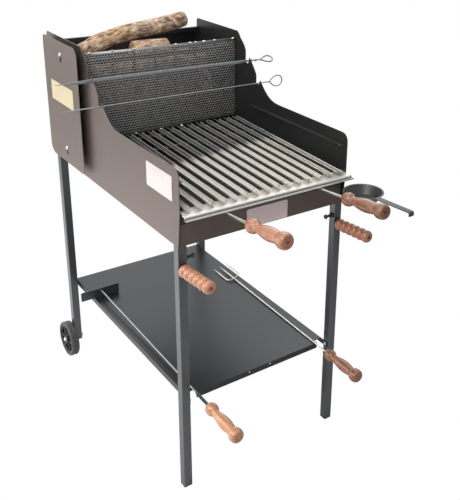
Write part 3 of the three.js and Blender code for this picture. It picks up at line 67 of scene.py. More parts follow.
# Light and floor, in metres and watts: each lamp's place, target, size and power
WARM = (1, 0.955, 0.91)
NEUTRAL = (1, 1, 1)
FLOOR_REACH = 6
LAMPS = {
    "left_floor": ((-1.5, 0.9, 1.0), (-1.5, 0.9, 0), (1.6, 2.4), 46, WARM),
    "left_rear": ((-1.9, 2.4, 0.5), (0, 0.3, 0.5), (2.0, 0.9), 8, WARM),
    "left_high": ((-2.2, 0.1, 2.1), (0, 0.1, 0.85), (2.0, 1.0), 12, WARM),
    "key": ((-1.5, -1.1, 2.5), (0, 0, 0.7), (0.8, 0.8), 31, WARM),
    "rear_box": ((1.0, 2.8, 1.4), (0, 0, 0.8), (2.4, 1.8), 4, NEUTRAL),
    "rear_high": ((1.3, 2.4, 2.4), (0, 0.2, 0.8), (2.0, 1.2), 9, NEUTRAL),
    "right_high": ((1.5, 0.9, 2.3), (0, 0, 0.8), (1.2, 1.6), 9, NEUTRAL),
    "top_box": ((-0.3, 0.2, 3.0), (0, 0, 0.8), (2.2, 2.2), 26, NEUTRAL),
    "front_floor": ((0.5, -1.5, 0.8), (0.5, -1.3, 0), (1.6, 1.2), 1.5, NEUTRAL),
}

# Facets and edges
ROUND = 48
THIN_ROUND = 20
CURVE_STEPS = 6
NOISE_RANGE = (0.3, 0.7)
SHARP = math.radians(35)
NUT_SHARP = math.radians(28)
BARK_SHARP = math.radians(60)
WELD = 0.00002
SHEET_BEVEL = 0.4
TUBE_BEVEL = 1.8
BAR_BEVEL = 0.5
GAP = 0.3

# Body and stand
HALF = 270
SHEET = 2
THIN_SHEET = 1.5
LEG = 25
INSIDE = HALF - SHEET - GAP

# Grate: its slope, where its bars are pale, sooted or stained, and where shade and highlights are painted on
# them and in the gutter
GRATE_FRONT = -25
GRATE_HEIGHT = 869
GRATE_SLOPE = math.radians(1.9)
CHANNEL_DEPTH = 12
CHANNEL_RIM = 1.4
# Heights over the grate plane between which the valleys get painted shade
VALLEY_SHADE_HEIGHTS = (2, 5)
SOOT_FRONT = 274
SOOT_BLEND = 34
SOOT_SLANT = 0.15
STAIN = (-11, 30)
# Across these x the right-hand channels get painted shade on their walls and a painted highlight on their rims
RIGHT_SHADE_SPAN = (165, 225)
GUTTER_FRONT = -46.4
# Heights under the grate plane over which the gutter's inside gets painted shade
GUTTER_SHADE_DEPTHS = (-4, -8)

# Turned wooden handles, with shares of their length and radius, and the grate's rods
HANDLE_LENGTH = 166
HANDLE_RADIUS = 21.5
HANDLE_BORE = 4.3
TOOL_SCALE = 0.92
HANDLE_SHARES = [
    (0, 0.4), (0.01, 0.55), (0.035, 0.72), (0.07, 0.84), (0.12, 0.9), (0.17, 0.84), (0.205, 0.7), (0.22, 0.6),
    (0.25, 0.555), (0.3, 0.58), (0.38, 0.69), (0.46, 0.79), (0.54, 0.84), (0.62, 0.83), (0.7, 0.76),
    (0.765, 0.69),
    (0.79, 0.68), (0.815, 0.76), (0.84, 0.9), (0.88, 0.985), (0.92, 1), (0.96, 0.96), (0.985, 0.87), (1, 0.74),
]
GRATE_HANDLE_SPREAD = 152
GRATE_HANDLE_RISE = math.radians(6.1)
GRATE_HANDLE_FRONT = 310
GRATE_ROD = 8
GRATE_ROD_PASS = (-48, 852.64)
GRATE_ROD_REAR = -5
GRATE_ROD_LEVEL = 853.7
GRATE_ROD_SAG = 0.5

# Beaded push handles
PUSH_HEIGHT = 703
PUSH_RISE = math.radians(4.5)
PUSH_LENGTH = 142
PUSH_STAND_OFF = 1.4
BEADS = 6
BEAD_RADIUS = 18
BEAD_GROOVE = 7
BEAD_ROUND = 12
BEAD_STEPS = 14
BEAD_END = 1
PUSH_BORE = 4.6
PUSH_SUNK = 10

# Bolts and screws: (place, radius) from the face that each sits on, and nuts as (radius, low, high)
NUT_CORNER_SHARE = 0.86
NUT_BEVEL_SHARE = 0.2
CLAMP_HEIGHT = 729
CLAMP_NUTS = ((8, GAP, 6), (7, 20, 27))
CLAMP_SHANK = [(-2, 0), (-2, 4), (26, 4), (27, 3), (27, 0)]
LEDGE_SCREW_PLACE = (20, 944)
LEDGE_SCREW = [(-3, 0), (-3, 1.7), (GAP, 1.7), (GAP, 4), (1.2, 3.7), (2.2, 2.2), (2.4, 0)]
SHIELD_SCREW_PLACES = ((681, 1137), (681, 840))
SHIELD_SCREW = [
    (GAP, 0), (GAP, 5.5), (18.2, 5.5), (18.2, 3), (20.3, 3), (20.3, 6), (21, 6.1), (23, 5.2), (24.3, 3.4),
    (24.7, 0),
]

# Wheels: the tyre's groove, and the axle bolt's nut and cap, as (place, radius)
WHEEL_Y = 827.5
WHEEL_RADIUS = 62.5
WHEEL_WIDTH = 28
WHEEL_STAND_OFF = 1.8
TYRE_DEPTH = 11
TYRE_ROUND = 5
TYRE_FOOT = [(1, GAP), (0, 3)]
TYRE_GROOVE = [(-3, 0), (-2.4, -1.4)]
RIM_DEPTH = 4.5
RIM_INSET = 3
RIM_BEVEL = 1
HUB_RADIUS = 13
HUB_BORE = 4.3
HUB_PROUD = 1.5
HUB_BEVEL = 1
WEB_HALF = 1.5
SPOKES = 6
SPOKE_HALF = 2.2
SPOKE_CORNER = 1.5
SPOKE_CORNER_STEPS = 2
SPOKE_INSET = 1
WHEEL_OVERLAP = 1
AXLE_NUT = [(-6, 0), (-6, 6.6), (-5, 7.5), (0, 7.5), (0, 4)]
AXLE_CAP = [(0, 4), (0, 7.5), (2.5, 7.5), (4.5, 7.5 / 1.3), (6, 3), (6, 0)]

# Grease pan: its section from the edge of its base and from its rim, as (height, radius)
PAN_MIDDLE = (276, -84.5, 832)
PAN_RADIUS = 60
PAN_BASE = 41
PAN_DEPTH = 28
PAN_WALL = 1.5
PAN_LIP = 3
PAN_SLOPE = (PAN_RADIUS - PAN_LIP - PAN_BASE) / PAN_DEPTH
PAN_FOOT = [(0, -2), (0.6, 0), (3, 3 * PAN_SLOPE)]
PAN_NECK = (-3, -PAN_LIP - 2 * PAN_SLOPE)
PAN_ROLL = [(-2.2, -PAN_LIP), (-1.9, -0.6), (-1, 0), (-0.2, -0.5), (0, -1.6)]
PAN_INNER_LIP = (-0.4, -PAN_LIP - PAN_WALL)
PAN_INNER_FOOT = [(5, 5 * PAN_SLOPE - PAN_WALL), (2.4, -1.5), (PAN_WALL, -5)]
PAN_BAR_LENGTH = 128
PAN_BAR_WIDTH = 20
PAN_BAR_THICKNESS = 3
PAN_BAR_ROUND_SHARE = 0.8
PAN_BAR_CORNER_STEPS = 3
PAN_BAR_RISE = math.radians(1.5)
PAN_BAR_TURN = math.radians(3)
PAN_HOOK = 11
PAN_HOOK_BEND = 4
PAN_HOOK_ROUND = 1

# Skewers, with shares of their eyes' length and width
FLAT_Y = 515
FLAT_Z = 1088.8
FLAT_TIP = -371
FLAT_HEIGHT = 11
FLAT_THICKNESS = 3
FLAT_POINT = 95
FLAT_POINT_END_SHARE = 0.06
FLAT_POINT_POWER = 0.8
FLAT_TWIST = (266, 322)
FLAT_TURNS = 1.5
FLAT_OVERLAP = 4
FLAT_STATIONS = (12, 24, 60)
FLAT_WIRE = 5
FLAT_WIRE_SHARES = (0.8, 1.25)
FLAT_LOOP = (47.2, 26)
FLAT_LOOP_TILT = math.radians(38)
FLAT_LOOP_SHARES = [(0.03, 0.03), (0.12, 0.12), (0.35, 0.36), (0.68, 0.5), (0.93, 0.3), (1, 0)]
ROUND_Y = 451
ROUND_Z = 1028.3
ROUND_TIP = -383
ROUND_POINT = 45
ROUND_POINT_END = (2, 0.4)
ROUND_END = 316
ROUND_OVERLAP = 3
ROUND_LOOP = (50, 36)
ROUND_LOOP_SHARES = [(0.02, 0.03), (0.1, 0.16), (0.32, 0.4), (0.6, 0.5), (0.88, 0.36), (1, 0)]
ROUND_SKEWER = 4

# Rake and fork; a weld spot is its radii and the seed of its unevenness
RAKE_BLADE = ((-290, 663, 293.3), (-157, 666, 325.3))
RAKE_CORNER = 3
RAKE_ROD_REAR = (-219, 664, 315.3)
RAKE_ROD_LIP = (-219, 20, 298.1)
RAKE_ROD = 5
RAKE_WELD_FRONT = 1.5
RAKE_WELD = ((4.5, 2.5, 4.5), 3)
RAKE_SLEEVE = 9
RAKE_SLEEVE_BEVEL = 0.6
RAKE_SLEEVE_LENGTH = 66
RAKE_SLEEVE_SUNK = 80
RAKE_HANDLE_Y = -55
FORK_REAR = (214, 505, 298.6)
FORK_LIP = (206, 20, 296.1)
FORK_ROD = 5
FORK_ROD_SUNK = 60
FORK_HANDLE_Y = -42
FORK_PRONG = 106
FORK_STATIONS = 14
FORK_POINT_STATIONS = 6
FORK_POINT_SHARE = 0.15
FORK_SPREAD = 25
FORK_SHOULDER = 9
FORK_ROLL = math.radians(15)
FORK_LIFT = 4
FORK_WELD = ((5, 5, 4), 5)

# Perforated screen
SCREEN_FRONT = 583.7
SCREEN_BOTTOM = 880
SCREEN_TOP = 1155
HOLE_PITCH = 9.7
HOLE_ROW = 8.0
HOLE_RADIUS = 3
SCREEN_FOOT = 11
SCREEN_HEAD = 8
WELD_SPOTS_TOP = (-238, -167, -96, -26, 45, 97, 116, 148, 187, 258)
WELD_SPOTS_FOOT = (-102, -15, 61, 160)
WELD_SPOT = (5, 2.2, 2.6)
WELD_ROWS = 8
WELD_ROUND = 12

# Plain plates: lowest and highest corners on the face they lie on
FRONT_PLATE = ((-63, 771.5), (71, 825))
LEFT_PLATE = ((23, 889), (164, 957))
SHIELD_PLATE = ((601, 980), (775, 1042))
PLATE_THICKNESS = 0.8
PLATE_CORNER = 5
SHIELD_PLATE_CORNER = 1

# Logs: lumps and knots as shares of the radius, and the grain across and along of lumps and of bark
LOGS = ("log_low_front", "log_low_rear", "log_front", "log_rear", "log_second", "log_leaning")
LOG_LONG = 110
LOG_ROUND = 72
LEANING_RADIUS = 28
LEANING_LENGTH = 400
LEANING_RISE = math.radians(10.5)
LEANING_TURN = math.radians(7.5)
LEANING_BEND = 18
BEND_NORM = 27 / 4
LOG_LUMPS = 0.12
LOG_KNOTS = 0.12
LOG_KNOT_START = 0.1
LOG_LUMP_GRAIN = (30, 30, 60)
LOG_LUMP_SCALE = 0.7
LOG_KNOT_SCALE = 1.6
LOG_BARK = 2.4
LOG_BARK_GRAIN = (5, 5, 22)
LOG_RIM_SHARE = 0.01
LOG_RIM_LOSS = 0.06
LOG_END_RISE = 0.4
LOG_SEED_STEP = (7.3, 3.1, 0)


# Mesh helpers: a geometry is its points, blocks of faces and local coordinates, as arrays in millimetres

# Axes (u, v, w) of plates that face the front and the left
FRONT_FACE = ((1, 0, 0), (0, 0, 1), (0, 1, 0))
LEFT_FACE = ((0, 1, 0), (0, 0, 1), (1, 0, 0))


def unit(vector):
    """The vector's direction, with length 1."""
    return np.array(vector, float) / np.linalg.norm(vector)


def axes_of(direction):
    """Right-handed axes (u, v, w), with w along the direction."""
    w = unit(direction)
    v = unit(np.cross(w, (1, 0, 0) if abs(w[0]) < max(abs(w[1]), abs(w[2])) else (0, 1, 0)))
    return np.array((np.cross(v, w), v, w))


def bridge(lower, upper):
    """Faces between two rings of point numbers: quads, or triangles where one ring is a single point."""
    if len(lower) == 1:
        corners = (np.repeat(lower, len(upper)), np.roll(upper, -1), upper)
    elif len(upper) == 1:
        corners = (lower, np.roll(lower, -1), np.repeat(upper, len(lower)))
    else:
        corners = (lower, np.roll(lower, -1), np.roll(upper, -1), upper)
    return np.stack(corners, 1)


def lathe(profile, start, direction, segments=ROUND, ring=False):
    """Turned piece: p = start + r cos(a) u + r sin(a) v + z w for each (z, r) of its profile or ring."""
    along, radius = np.array(profile, float).T
    around = circle(1, segments)
    local = np.dstack((radius[:, None, None] * around, np.repeat(along[:, None], segments, 1)))
    kept = (radius > 0)[:, None] | (np.arange(segments) == 0)
    local = local[kept]
    rings = np.split(np.arange(len(local)), np.cumsum(kept.sum(1))[:-1])
    faces = [bridge(low, high) for low, high in zip(rings, rings[1:] + rings[:1] * ring)]
    return np.array(start) + local @ axes_of(direction), faces, local


def catmull(points, steps):
    """Catmull-Rom: 2 p = 2 p1 + (p2 - p0) t + (2 p0 - 5 p1 + 4 p2 - p3) t2 + (3 p1 - p0 - 3 p2 + p3) t3."""
    known = np.array(points, float)
    known = np.vstack((2 * known[0] - known[1], known, 2 * known[-1] - known[-2]))
    p0, p1, p2, p3 = (known[i:len(known) - 3 + i, None] for i in range(4))
    t = (np.arange(steps) / steps)[:, None]
    curve = 2 * p1 + (p2 - p0) * t + (2 * p0 - 5 * p1 + 4 * p2 - p3) * t ** 2
    curve = curve + (3 * p1 - p0 - 3 * p2 + p3) * t ** 3
    return np.vstack((curve.reshape(-1, known.shape[1]) / 2, known[-2]))


def sweep(path, outlines):
    """Solid along a path: p = path + a u + b v for each (a, b) of its outline, on axes that turn the least."""
    path = np.array(path, float)
    outlines = np.broadcast_to(outlines, (len(path), *np.shape(outlines)[-2:]))
    sides = zip(path[[0, *range(len(path) - 1)]], [*path[1:], path[-1]])
    tangents = [unit(after - before) for before, after in sides]
    u = axes_of(tangents[0])[0]
    axes = []
    for tangent in tangents:
        u = unit(u - tangent * (u @ tangent))
        axes.append((u, np.cross(tangent, u)))
    length = np.cumsum(np.linalg.norm(np.diff(path, axis=0, prepend=path[:1]), axis=1))
    points = path[:, None] + outlines @ np.array(axes)
    local = np.dstack((outlines, np.repeat(length[:, None], outlines.shape[1], 1)))
    rings = np.arange(outlines.size // 2).reshape(len(path), -1)
    faces = [bridge(low, high) for low, high in zip(rings, rings[1:])]
    return points.reshape(-1, 3), faces + [rings[:1, ::-1], rings[-1:]], local.reshape(-1, 3)


def circle(radius, sides=THIN_ROUND):
    """Outline r (cos a, sin a)."""
    angle = TAU * np.arange(sides) / sides
    return radius * np.stack((np.cos(angle), np.sin(angle)), 1)


def tube(path, radius):
    """Round wire along a path."""
    return sweep(path, circle(radius))


def merge(*geometries):
    """One geometry from several."""
    points, faces, local = zip(*geometries)
    shifts = np.cumsum([0] + [len(p) for p in points])
    shifted = [block + shift for shift, blocks in zip(shifts, faces) for block in blocks]
    return np.vstack(points), shifted, np.vstack(local)


def slab(outline, low, high, axes, origin=(0, 0, 0)):
    """Plate between two depths: p = origin + a u + b v + depth w for each (a, b) of its outline."""
    count = len(outline)
    local = np.column_stack((np.tile(outline, (2, 1)), np.repeat((low, high), count)))
    lower, upper = np.arange(2 * count).reshape(2, -1)
    points = np.array(origin) + local @ np.array(axes)
    return points, [lower[None, ::-1], upper[None], bridge(lower, upper)], local


def rounded(low, high, radius, steps=CURVE_STEPS):
    """Outline of a rectangle with round corners: m + r (cos a, sin a) about each corner's middle m."""
    (left, bottom), (right, top) = low, high
    corners = np.array(((right, top), (left, top), (left, bottom), (right, bottom)), float)
    middles = corners - radius * np.sign(corners - corners.mean(0))
    angle = (np.arange(4)[:, None] + np.arange(steps + 1) / steps) * TAU / 4
    return (middles[:, None] + radius * np.stack((np.cos(angle), np.sin(angle)), 2)).reshape(-1, 2)


def mirrored(profile):
    """A profile, then its mirror image from back to front."""
    return np.vstack((profile, np.array(profile)[::-1] * (-1, 1)))


def noise_at(places):
    """Blender's noise at each place of an array."""
    values = map(noise.noise, places.reshape(-1, 3).tolist())
    return np.fromiter(values, float).reshape(places.shape[:-1])


def weld_spot(middle, radii, seed):
    """Uneven ellipsoid: p = middle + radii n (1 + noise(2 n) / 2) for the directions n of a unit sphere."""
    angle = math.pi * np.arange(WELD_ROWS + 1) / WELD_ROWS
    inner = np.arange(WELD_ROWS + 1) % WELD_ROWS > 0
    profile = np.stack((-np.cos(angle), np.sin(angle) * inner), 1)
    way, faces, _ = lathe(profile, (0, 0, 0), (0, 0, 1), WELD_ROUND)
    size = 1 + noise_at(way * 2 + (seed, 0, 0)) / 2
    points = np.array(middle) + way * radii * size[:, None]
    return points, faces, points


def add(name, geometry, body, material, replaced=(), sharp=SHARP):
    """Makes a piece of a geometry, with its local coordinates as an attribute, and fixes it to its body."""
    points, faces, local = geometry
    polygons = [face for block in faces for face in block.tolist()]
    mesh = bpy.data.meshes.new(name)
    mesh.from_pydata((np.array(ORIGIN) + points * MM).tolist(), [], polygons)
    mesh.attributes.new("local", "FLOAT_VECTOR", "POINT").data.foreach_set("vector", np.ravel(local * MM))
    outward = bmesh.new()
    outward.from_mesh(mesh)
    bmesh.ops.recalc_face_normals(outward, faces=outward.faces)
    outward.to_mesh(mesh)
    outward.free()
    mesh.polygons.foreach_set("use_smooth", [True] * len(mesh.polygons))
    mesh.set_sharp_from_angle(angle=sharp)
    mesh.materials.append(material)
    piece = bpy.data.objects.new(name, mesh)
    scene.collection.objects.link(piece)
    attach(piece, body)
    if replaced:
        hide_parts(*replaced)
    return piece


def soften(piece, width):
    """Rounds the sharp edges of a piece or a CAD node."""
    bevel = piece.modifiers.new("edges", "BEVEL")
    bevel.width = width * MM
    bevel.segments = 2
    bevel.limit_method = "ANGLE"
    bevel.angle_limit = SHARP
    bevel.harden_normals = False


def dress(name, material, width=SHEET_BEVEL):
    """Gives a CAD node its material and softens its edges."""
    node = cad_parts[name]
    for held in node.material_slots:
        held.material = material
    weld = node.modifiers.new("weld", "WELD")
    weld.merge_threshold = WELD
    soften(node, width)


# Shader helpers

def feed(socket, value):
    """Links an output to a socket, or sets a plain value on it."""
    if isinstance(value, bpy.types.NodeSocket):
        socket.id_data.links.new(value, socket)
    elif value is not None:
        socket.default_value = value


def give(node, inputs):
    """Feeds a node's inputs by name or number."""
    for key, value in dict(inputs).items():
        feed(node.inputs[key], value)


def make(tree, kind, inputs=(), **settings):
    """Adds a node with its settings and its inputs."""
    node = tree.nodes.new(kind)
    for key, value in settings.items():
        setattr(node, key, value)
    give(node, inputs)
    return node


def maths(tree, operation, *values):
    """Result of a Math node."""
    return make(tree, "ShaderNodeMath", enumerate(values), operation=operation).outputs[0]


def cloudy(tree, vector, scale, detail, roughness=None):
    """Factor of a noise texture."""
    inputs = {"Vector": vector, "Scale": scale, "Detail": detail, "Roughness": roughness}
    return make(tree, "ShaderNodeTexNoise", inputs).outputs["Fac"]


def spread(tree, value, low, high):
    """0 at the first value and 1 at the second."""
    inputs = {"Value": value, "From Min": low, "From Max": high}
    return make(tree, "ShaderNodeMapRange", inputs).outputs["Result"]


def weighted(tree, vector, weights, shift):
    """Sum of the coordinates by their weights, and a shift."""
    dot = make(tree, "ShaderNodeVectorMath", {0: vector, 1: weights}, operation="DOT_PRODUCT")
    return maths(tree, "ADD", dot.outputs["Value"], shift)


def ramp(tree, factor, *stops):
    """Colours or greys at their places along a factor."""
    node = make(tree, "ShaderNodeValToRGB", {"Fac": factor})
    elements = node.color_ramp.elements
    while len(elements) < len(stops):
        elements.new(1)
    for element, (place, colour) in zip(elements, stops):
        element.position = place
        element.color = (*colour, 1) if isinstance(colour, tuple) else (colour, colour, colour, 1)
    return node.outputs["Color"]


def graded(tree, factor, low, high):
    """The first value at 0 and the second at 1."""
    return ramp(tree, factor, (0, low), (1, high))


def blend(tree, factor, first, second, mode="MIX"):
    """Mixes two colours."""
    first, second = ((*colour, 1) if isinstance(colour, tuple) else colour for colour in (first, second))
    inputs = {"Factor": factor, 6: first, 7: second}
    return make(tree, "ShaderNodeMix", inputs, data_type="RGBA", blend_type=mode).outputs[2]


def bumped(tree, shader, height, strength, distance):
    """Raises the surface by a height, at most by the distance in millimetres."""
    bump = make(tree, "ShaderNodeBump", {"Height": height, "Strength": strength, "Distance": distance * MM})
    give(shader, {"Normal": bump.outputs["Normal"]})


def new_group(name, inputs, outputs):
    """Empty shader group with named sockets; returns it, its inputs and its outputs."""
    tree = bpy.data.node_groups.new(name, "ShaderNodeTree")
    for way, sockets in (("INPUT", inputs), ("OUTPUT", outputs)):
        for label, kind in sockets.items():
            tree.interface.new_socket(label, in_out=way, socket_type=f"NodeSocket{kind}")
    return tree, tree.nodes.new("NodeGroupInput").outputs, tree.nodes.new("NodeGroupOutput").inputs


def mottling_group():
    """Cloudy change and fine grain at a scale: for paint, steel, rubber and bark."""
    inputs = {"Vector": "Vector", "Scale": "Float", "Grain": "Float"}
    tree, given, out = new_group("Mottling", inputs, {"Clouds": "Float", "Height": "Float"})
    finer = maths(tree, "MULTIPLY", given["Scale"], given["Grain"])
    feed(out["Clouds"], spread(tree, cloudy(tree, given["Vector"], given["Scale"], 5.0), *NOISE_RANGE))
    feed(out["Height"], cloudy(tree, given["Vector"], finer, 2.0))
    return tree


def streak_group():
    """Streaks along one way, by squeezing the coordinates: for brushed steel, wood grain and bark."""
    inputs = {"Vector": "Vector", "Squeeze": "Vector", "Scale": "Float"}
    tree, given, out = new_group("Streaks", inputs, {"Streaks": "Float"})
    factors = {0: given["Vector"], 1: given["Squeeze"]}
    squeezed = make(tree, "ShaderNodeVectorMath", factors, operation="MULTIPLY").outputs[0]
    feed(out["Streaks"], spread(tree, cloudy(tree, squeezed, given["Scale"], 4.0, 0.6), *NOISE_RANGE))
    return tree


MOTTLING = mottling_group()
STREAKS = streak_group()


def mottled(tree, vector, scale, grain):
    """Clouds, and the height of the grain."""
    node = make(tree, "ShaderNodeGroup", {"Vector": vector, "Scale": scale, "Grain": grain}, node_tree=MOTTLING)
    return node.outputs["Clouds"], node.outputs["Height"]


def streaked(tree, vector, squeeze, scale):
    """Streaks that run along the squeezed way."""
    inputs = {"Vector": vector, "Squeeze": squeeze, "Scale": scale}
    return make(tree, "ShaderNodeGroup", inputs, node_tree=STREAKS).outputs["Streaks"]


def object_coordinates(tree):
    """Places in the grill, in metres."""
    return make(tree, "ShaderNodeTexCoord").outputs["Object"]


def local_coordinates(tree):
    """Places along and across a piece's own axis, in metres."""
    return make(tree, "ShaderNodeAttribute", attribute_name="local").outputs["Vector"]


def start_material(name):
    """Material with a Principled shader; returns it, its tree and the shader."""
    material = bpy.data.materials.new(name)
    material.use_nodes = True
    return material, material.node_tree, material.node_tree.nodes["Principled BSDF"]


# Finishes

def shaded_inside_box(tree, vector):
    """1 within the middles of the side panels' sheet and before the middle of the rear wall's, where the panels
    get painted shade.
    """
    across = maths(tree, "ABSOLUTE", weighted(tree, vector, (1, 0, 0), -ORIGIN.x))
    behind = weighted(tree, vector, (0, 1, 0), THIN_SHEET / 2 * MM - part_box("rear_wall")[1][1])
    between = maths(tree, "LESS_THAN", across, (HALF - SHEET / 2) * MM)
    return maths(tree, "MULTIPLY", between, maths(tree, "LESS_THAN", behind, 0.0))


def paint_material(name, tones, metallic, rough, inner=None):
    """Sprayed paint: clouds in its colour and gloss over a fine orange peel, with a darker colour inside the
    box as painted shade.
    """
    material, tree, shader = start_material(name)
    vector = object_coordinates(tree)
    clouds, peel = mottled(tree, vector, 6.0, 130.0)
    colour = blend(tree, clouds, *tones)
    # Painted shade: the inner colour darkens the panels inside the box
    if inner:
        colour = blend(tree, shaded_inside_box(tree, vector), colour, inner)
    give(shader, {"Base Color": colour, "Roughness": graded(tree, clouds, *rough), "Metallic": metallic})
    bumped(tree, shader, peel, 0.12, 0.3)
    return material


def brushed(tree, shader, vector, tones, rough, squeeze):
    """Streaked colour, cloudy gloss and bump of brushed steel; returns the colour, the gloss and the clouds."""
    lines = streaked(tree, vector, squeeze, 900.0)
    clouds, _ = mottled(tree, vector, 30.0, 12.0)
    bumped(tree, shader, lines, 0.08, 0.2)
    return blend(tree, lines, *tones), graded(tree, clouds, *rough), clouds


def steel_material(name, tones, rough, squeeze, coordinates=object_coordinates, metallic=1.0):
    """Brushed steel with streaks along one way."""
    material, tree, shader = start_material(name)
    colour, gloss, _ = brushed(tree, shader, coordinates(tree), tones, rough, squeeze)
    give(shader, {"Base Color": colour, "Roughness": gloss, "Metallic": metallic})
    return material


def above_grate(tree, vector):
    """Height over the sloping plane that the channels stand on."""
    slope = math.tan(GRATE_SLOPE)
    low = ORIGIN.z + GRATE_HEIGHT * MM - slope * (ORIGIN.y + GRATE_FRONT * MM)
    return weighted(tree, vector, (0, -slope, 1), -low)


def gutter_material():
    """Steel of the front plate, with painted shade inside its gutter."""
    gutter_shade_tone = (0.15, 0.135, 0.115)
    material, tree, shader = start_material("gutter_steel")
    vector = object_coordinates(tree)
    colour, gloss, _ = brushed(tree, shader, vector, GUTTER_TONES, GRATE_GLOSS, (0.02, 1.0, 1.0))
    # Painted shade: darkens the gutter's inside, below the plate and behind the lip's front face
    deep = spread(tree, above_grate(tree, vector), GUTTER_SHADE_DEPTHS[0] * MM, GUTTER_SHADE_DEPTHS[1] * MM)
    back = weighted(tree, vector, (0, 1, 0), -ORIGIN.y - GUTTER_FRONT * MM)
    gutter_shade = maths(tree, "MULTIPLY", deep, maths(tree, "GREATER_THAN", back, 0.0))
    colour = blend(tree, graded(tree, gutter_shade, 0, 0.8), colour, gutter_shade_tone)
    give(shader, {"Base Color": colour, "Roughness": gloss, "Metallic": 0.5})
    return material


def grate_material():
    """Steel of the channels: pale in front, ashy behind a slant, with paler rims and stains; painted shade in
    the valleys and on the right-hand channels, whose rims get a painted highlight.
    """
    valley_shade_tone, stain_tone = (0.26, 0.235, 0.20), (0.22, 0.14, 0.08)
    ash_tones, ash_rim = ((0.035, 0.037, 0.036), (0.12, 0.123, 0.118)), (0.36, 0.36, 0.345)
    right_shade_tone, right_rim_highlight = (0.17, 0.16, 0.145), (0.85, 0.82, 0.76)
    material, tree, shader = start_material("grate_steel")
    vector = object_coordinates(tree)
    colour, gloss, clouds = brushed(tree, shader, vector, GRATE_TONES, GRATE_GLOSS, (1.0, 0.02, 1.0))
    height = above_grate(tree, vector)
    rim = spread(tree, height, (CHANNEL_DEPTH - CHANNEL_RIM) * MM, CHANNEL_DEPTH * MM)
    # Painted shade: darkens the channels' valleys and the low part of their walls
    valley_shade = spread(tree, height, VALLEY_SHADE_HEIGHTS[1] * MM, VALLEY_SHADE_HEIGHTS[0] * MM)
    colour = blend(tree, graded(tree, valley_shade, 0, 0.45), colour, valley_shade_tone)
    # Painted shade on the right-hand channels' walls, with a painted highlight on their rims
    side = spread(tree, weighted(tree, vector, (1, 0, 0), -ORIGIN.x), RIGHT_SHADE_SPAN[0] * MM, RIGHT_SHADE_SPAN[1] * MM)
    colour = blend(tree, graded(tree, side, 0, 0.8), colour, blend(tree, rim, right_shade_tone, right_rim_highlight))
    back = weighted(tree, vector, (-SOOT_SLANT, 1, 0), -ORIGIN.y - SOOT_FRONT * MM)
    rear = spread(tree, maths(tree, "MULTIPLY_ADD", clouds, 0.02, back), 0, SOOT_BLEND * MM)
    speckle = cloudy(tree, vector, 160.0, 3.0)
    ash = ramp(tree, speckle, (0.35, ash_tones[0]), (0.65, ash_tones[1]))
    colour = blend(tree, rear, colour, blend(tree, rim, ash, ash_rim))
    front = spread(tree, weighted(tree, vector, (0, 1, 0), -ORIGIN.y), STAIN[1] * MM, STAIN[0] * MM)
    spots = ramp(tree, cloudy(tree, vector, 130.0, 3.0), (0.55, 0), (0.62, 0.7))
    colour = blend(tree, blend(tree, front, (0.0, 0.0, 0.0), spots), colour, stain_tone)
    gloss = blend(tree, rear, gloss, (0.62, 0.62, 0.62))
    give(shader, {"Base Color": colour, "Roughness": gloss, "Metallic": graded(tree, rear, 0.5, 0.25)})
    return material


def wood_material(name, dark, light):
    """Varnished turned wood: growth layers drawn out along the piece, a slow change of tone, and pores."""
    material, tree, shader = start_material(name)
    vector = local_coordinates(tree)
    layers = streaked(tree, vector, (1.0, 0.35, 0.03), 190.0)
    clouds, _ = mottled(tree, vector, 22.0, 20.0)
    pores = streaked(tree, vector, (1.0, 1.0, 0.04), 1100.0)
    colour = blend(tree, layers, dark, light)
    colour = blend(tree, graded(tree, clouds, 0, 0.3), colour, dark)
    colour = blend(tree, ramp(tree, pores, (0, 0.25), (0.5, 0)), colour, tuple(c / 2 for c in dark))
    give(shader, {"Base Color": colour, "Roughness": 0.42, "Coat Weight": 0.6, "Coat Roughness": 0.16})
    bumped(tree, shader, pores, 0.06, 0.15)
    return material


def plain_material(name, colour, rough, scale=40.0, change=0.25, bump=0.15):
    """Moulded or cast surface: a slight change of tone and a fine grain."""
    material, tree, shader = start_material(name)
    clouds, grain = mottled(tree, object_coordinates(tree), scale, 25.0)
    darker = tuple(c * (1 - change) for c in colour)
    give(shader, {"Base Color": blend(tree, clouds, darker, colour), "Roughness": rough})
    bumped(tree, shader, grain, bump, 0.3)
    return material


def bark_material():
    """Rough bark: pale and brown plates with dark cracks along them, and orange wood where it broke off."""
    plates = (
        (0, (0.21, 0.125, 0.08)),
        (0.4, (0.50, 0.34, 0.235)),
        (0.7, (0.70, 0.53, 0.385)),
        (1, (0.92, 0.81, 0.64)),
    )
    bare_tones = (0.48, 0.24, 0.11), (0.90, 0.60, 0.35)
    material, tree, shader = start_material("bark")
    vector = local_coordinates(tree)
    cracks = streaked(tree, vector, (1.0, 1.0, 0.3), 130.0)
    clouds, _ = mottled(tree, vector, 48.0, 10.0)
    broken = ramp(tree, cloudy(tree, vector, 15.0, 3.0), (0.62, 0), (0.66, 0.85))
    colour = blend(tree, broken, ramp(tree, clouds, *plates), blend(tree, clouds, *bare_tones))
    shade = ramp(tree, cracks, (0.18, 0.26), (0.5, 1))
    give(shader, {"Base Color": blend(tree, 1.0, colour, shade, "MULTIPLY"), "Roughness": 0.85})
    bumped(tree, shader, maths(tree, "ADD", cracks, clouds), 0.9, 2.2)
    return material


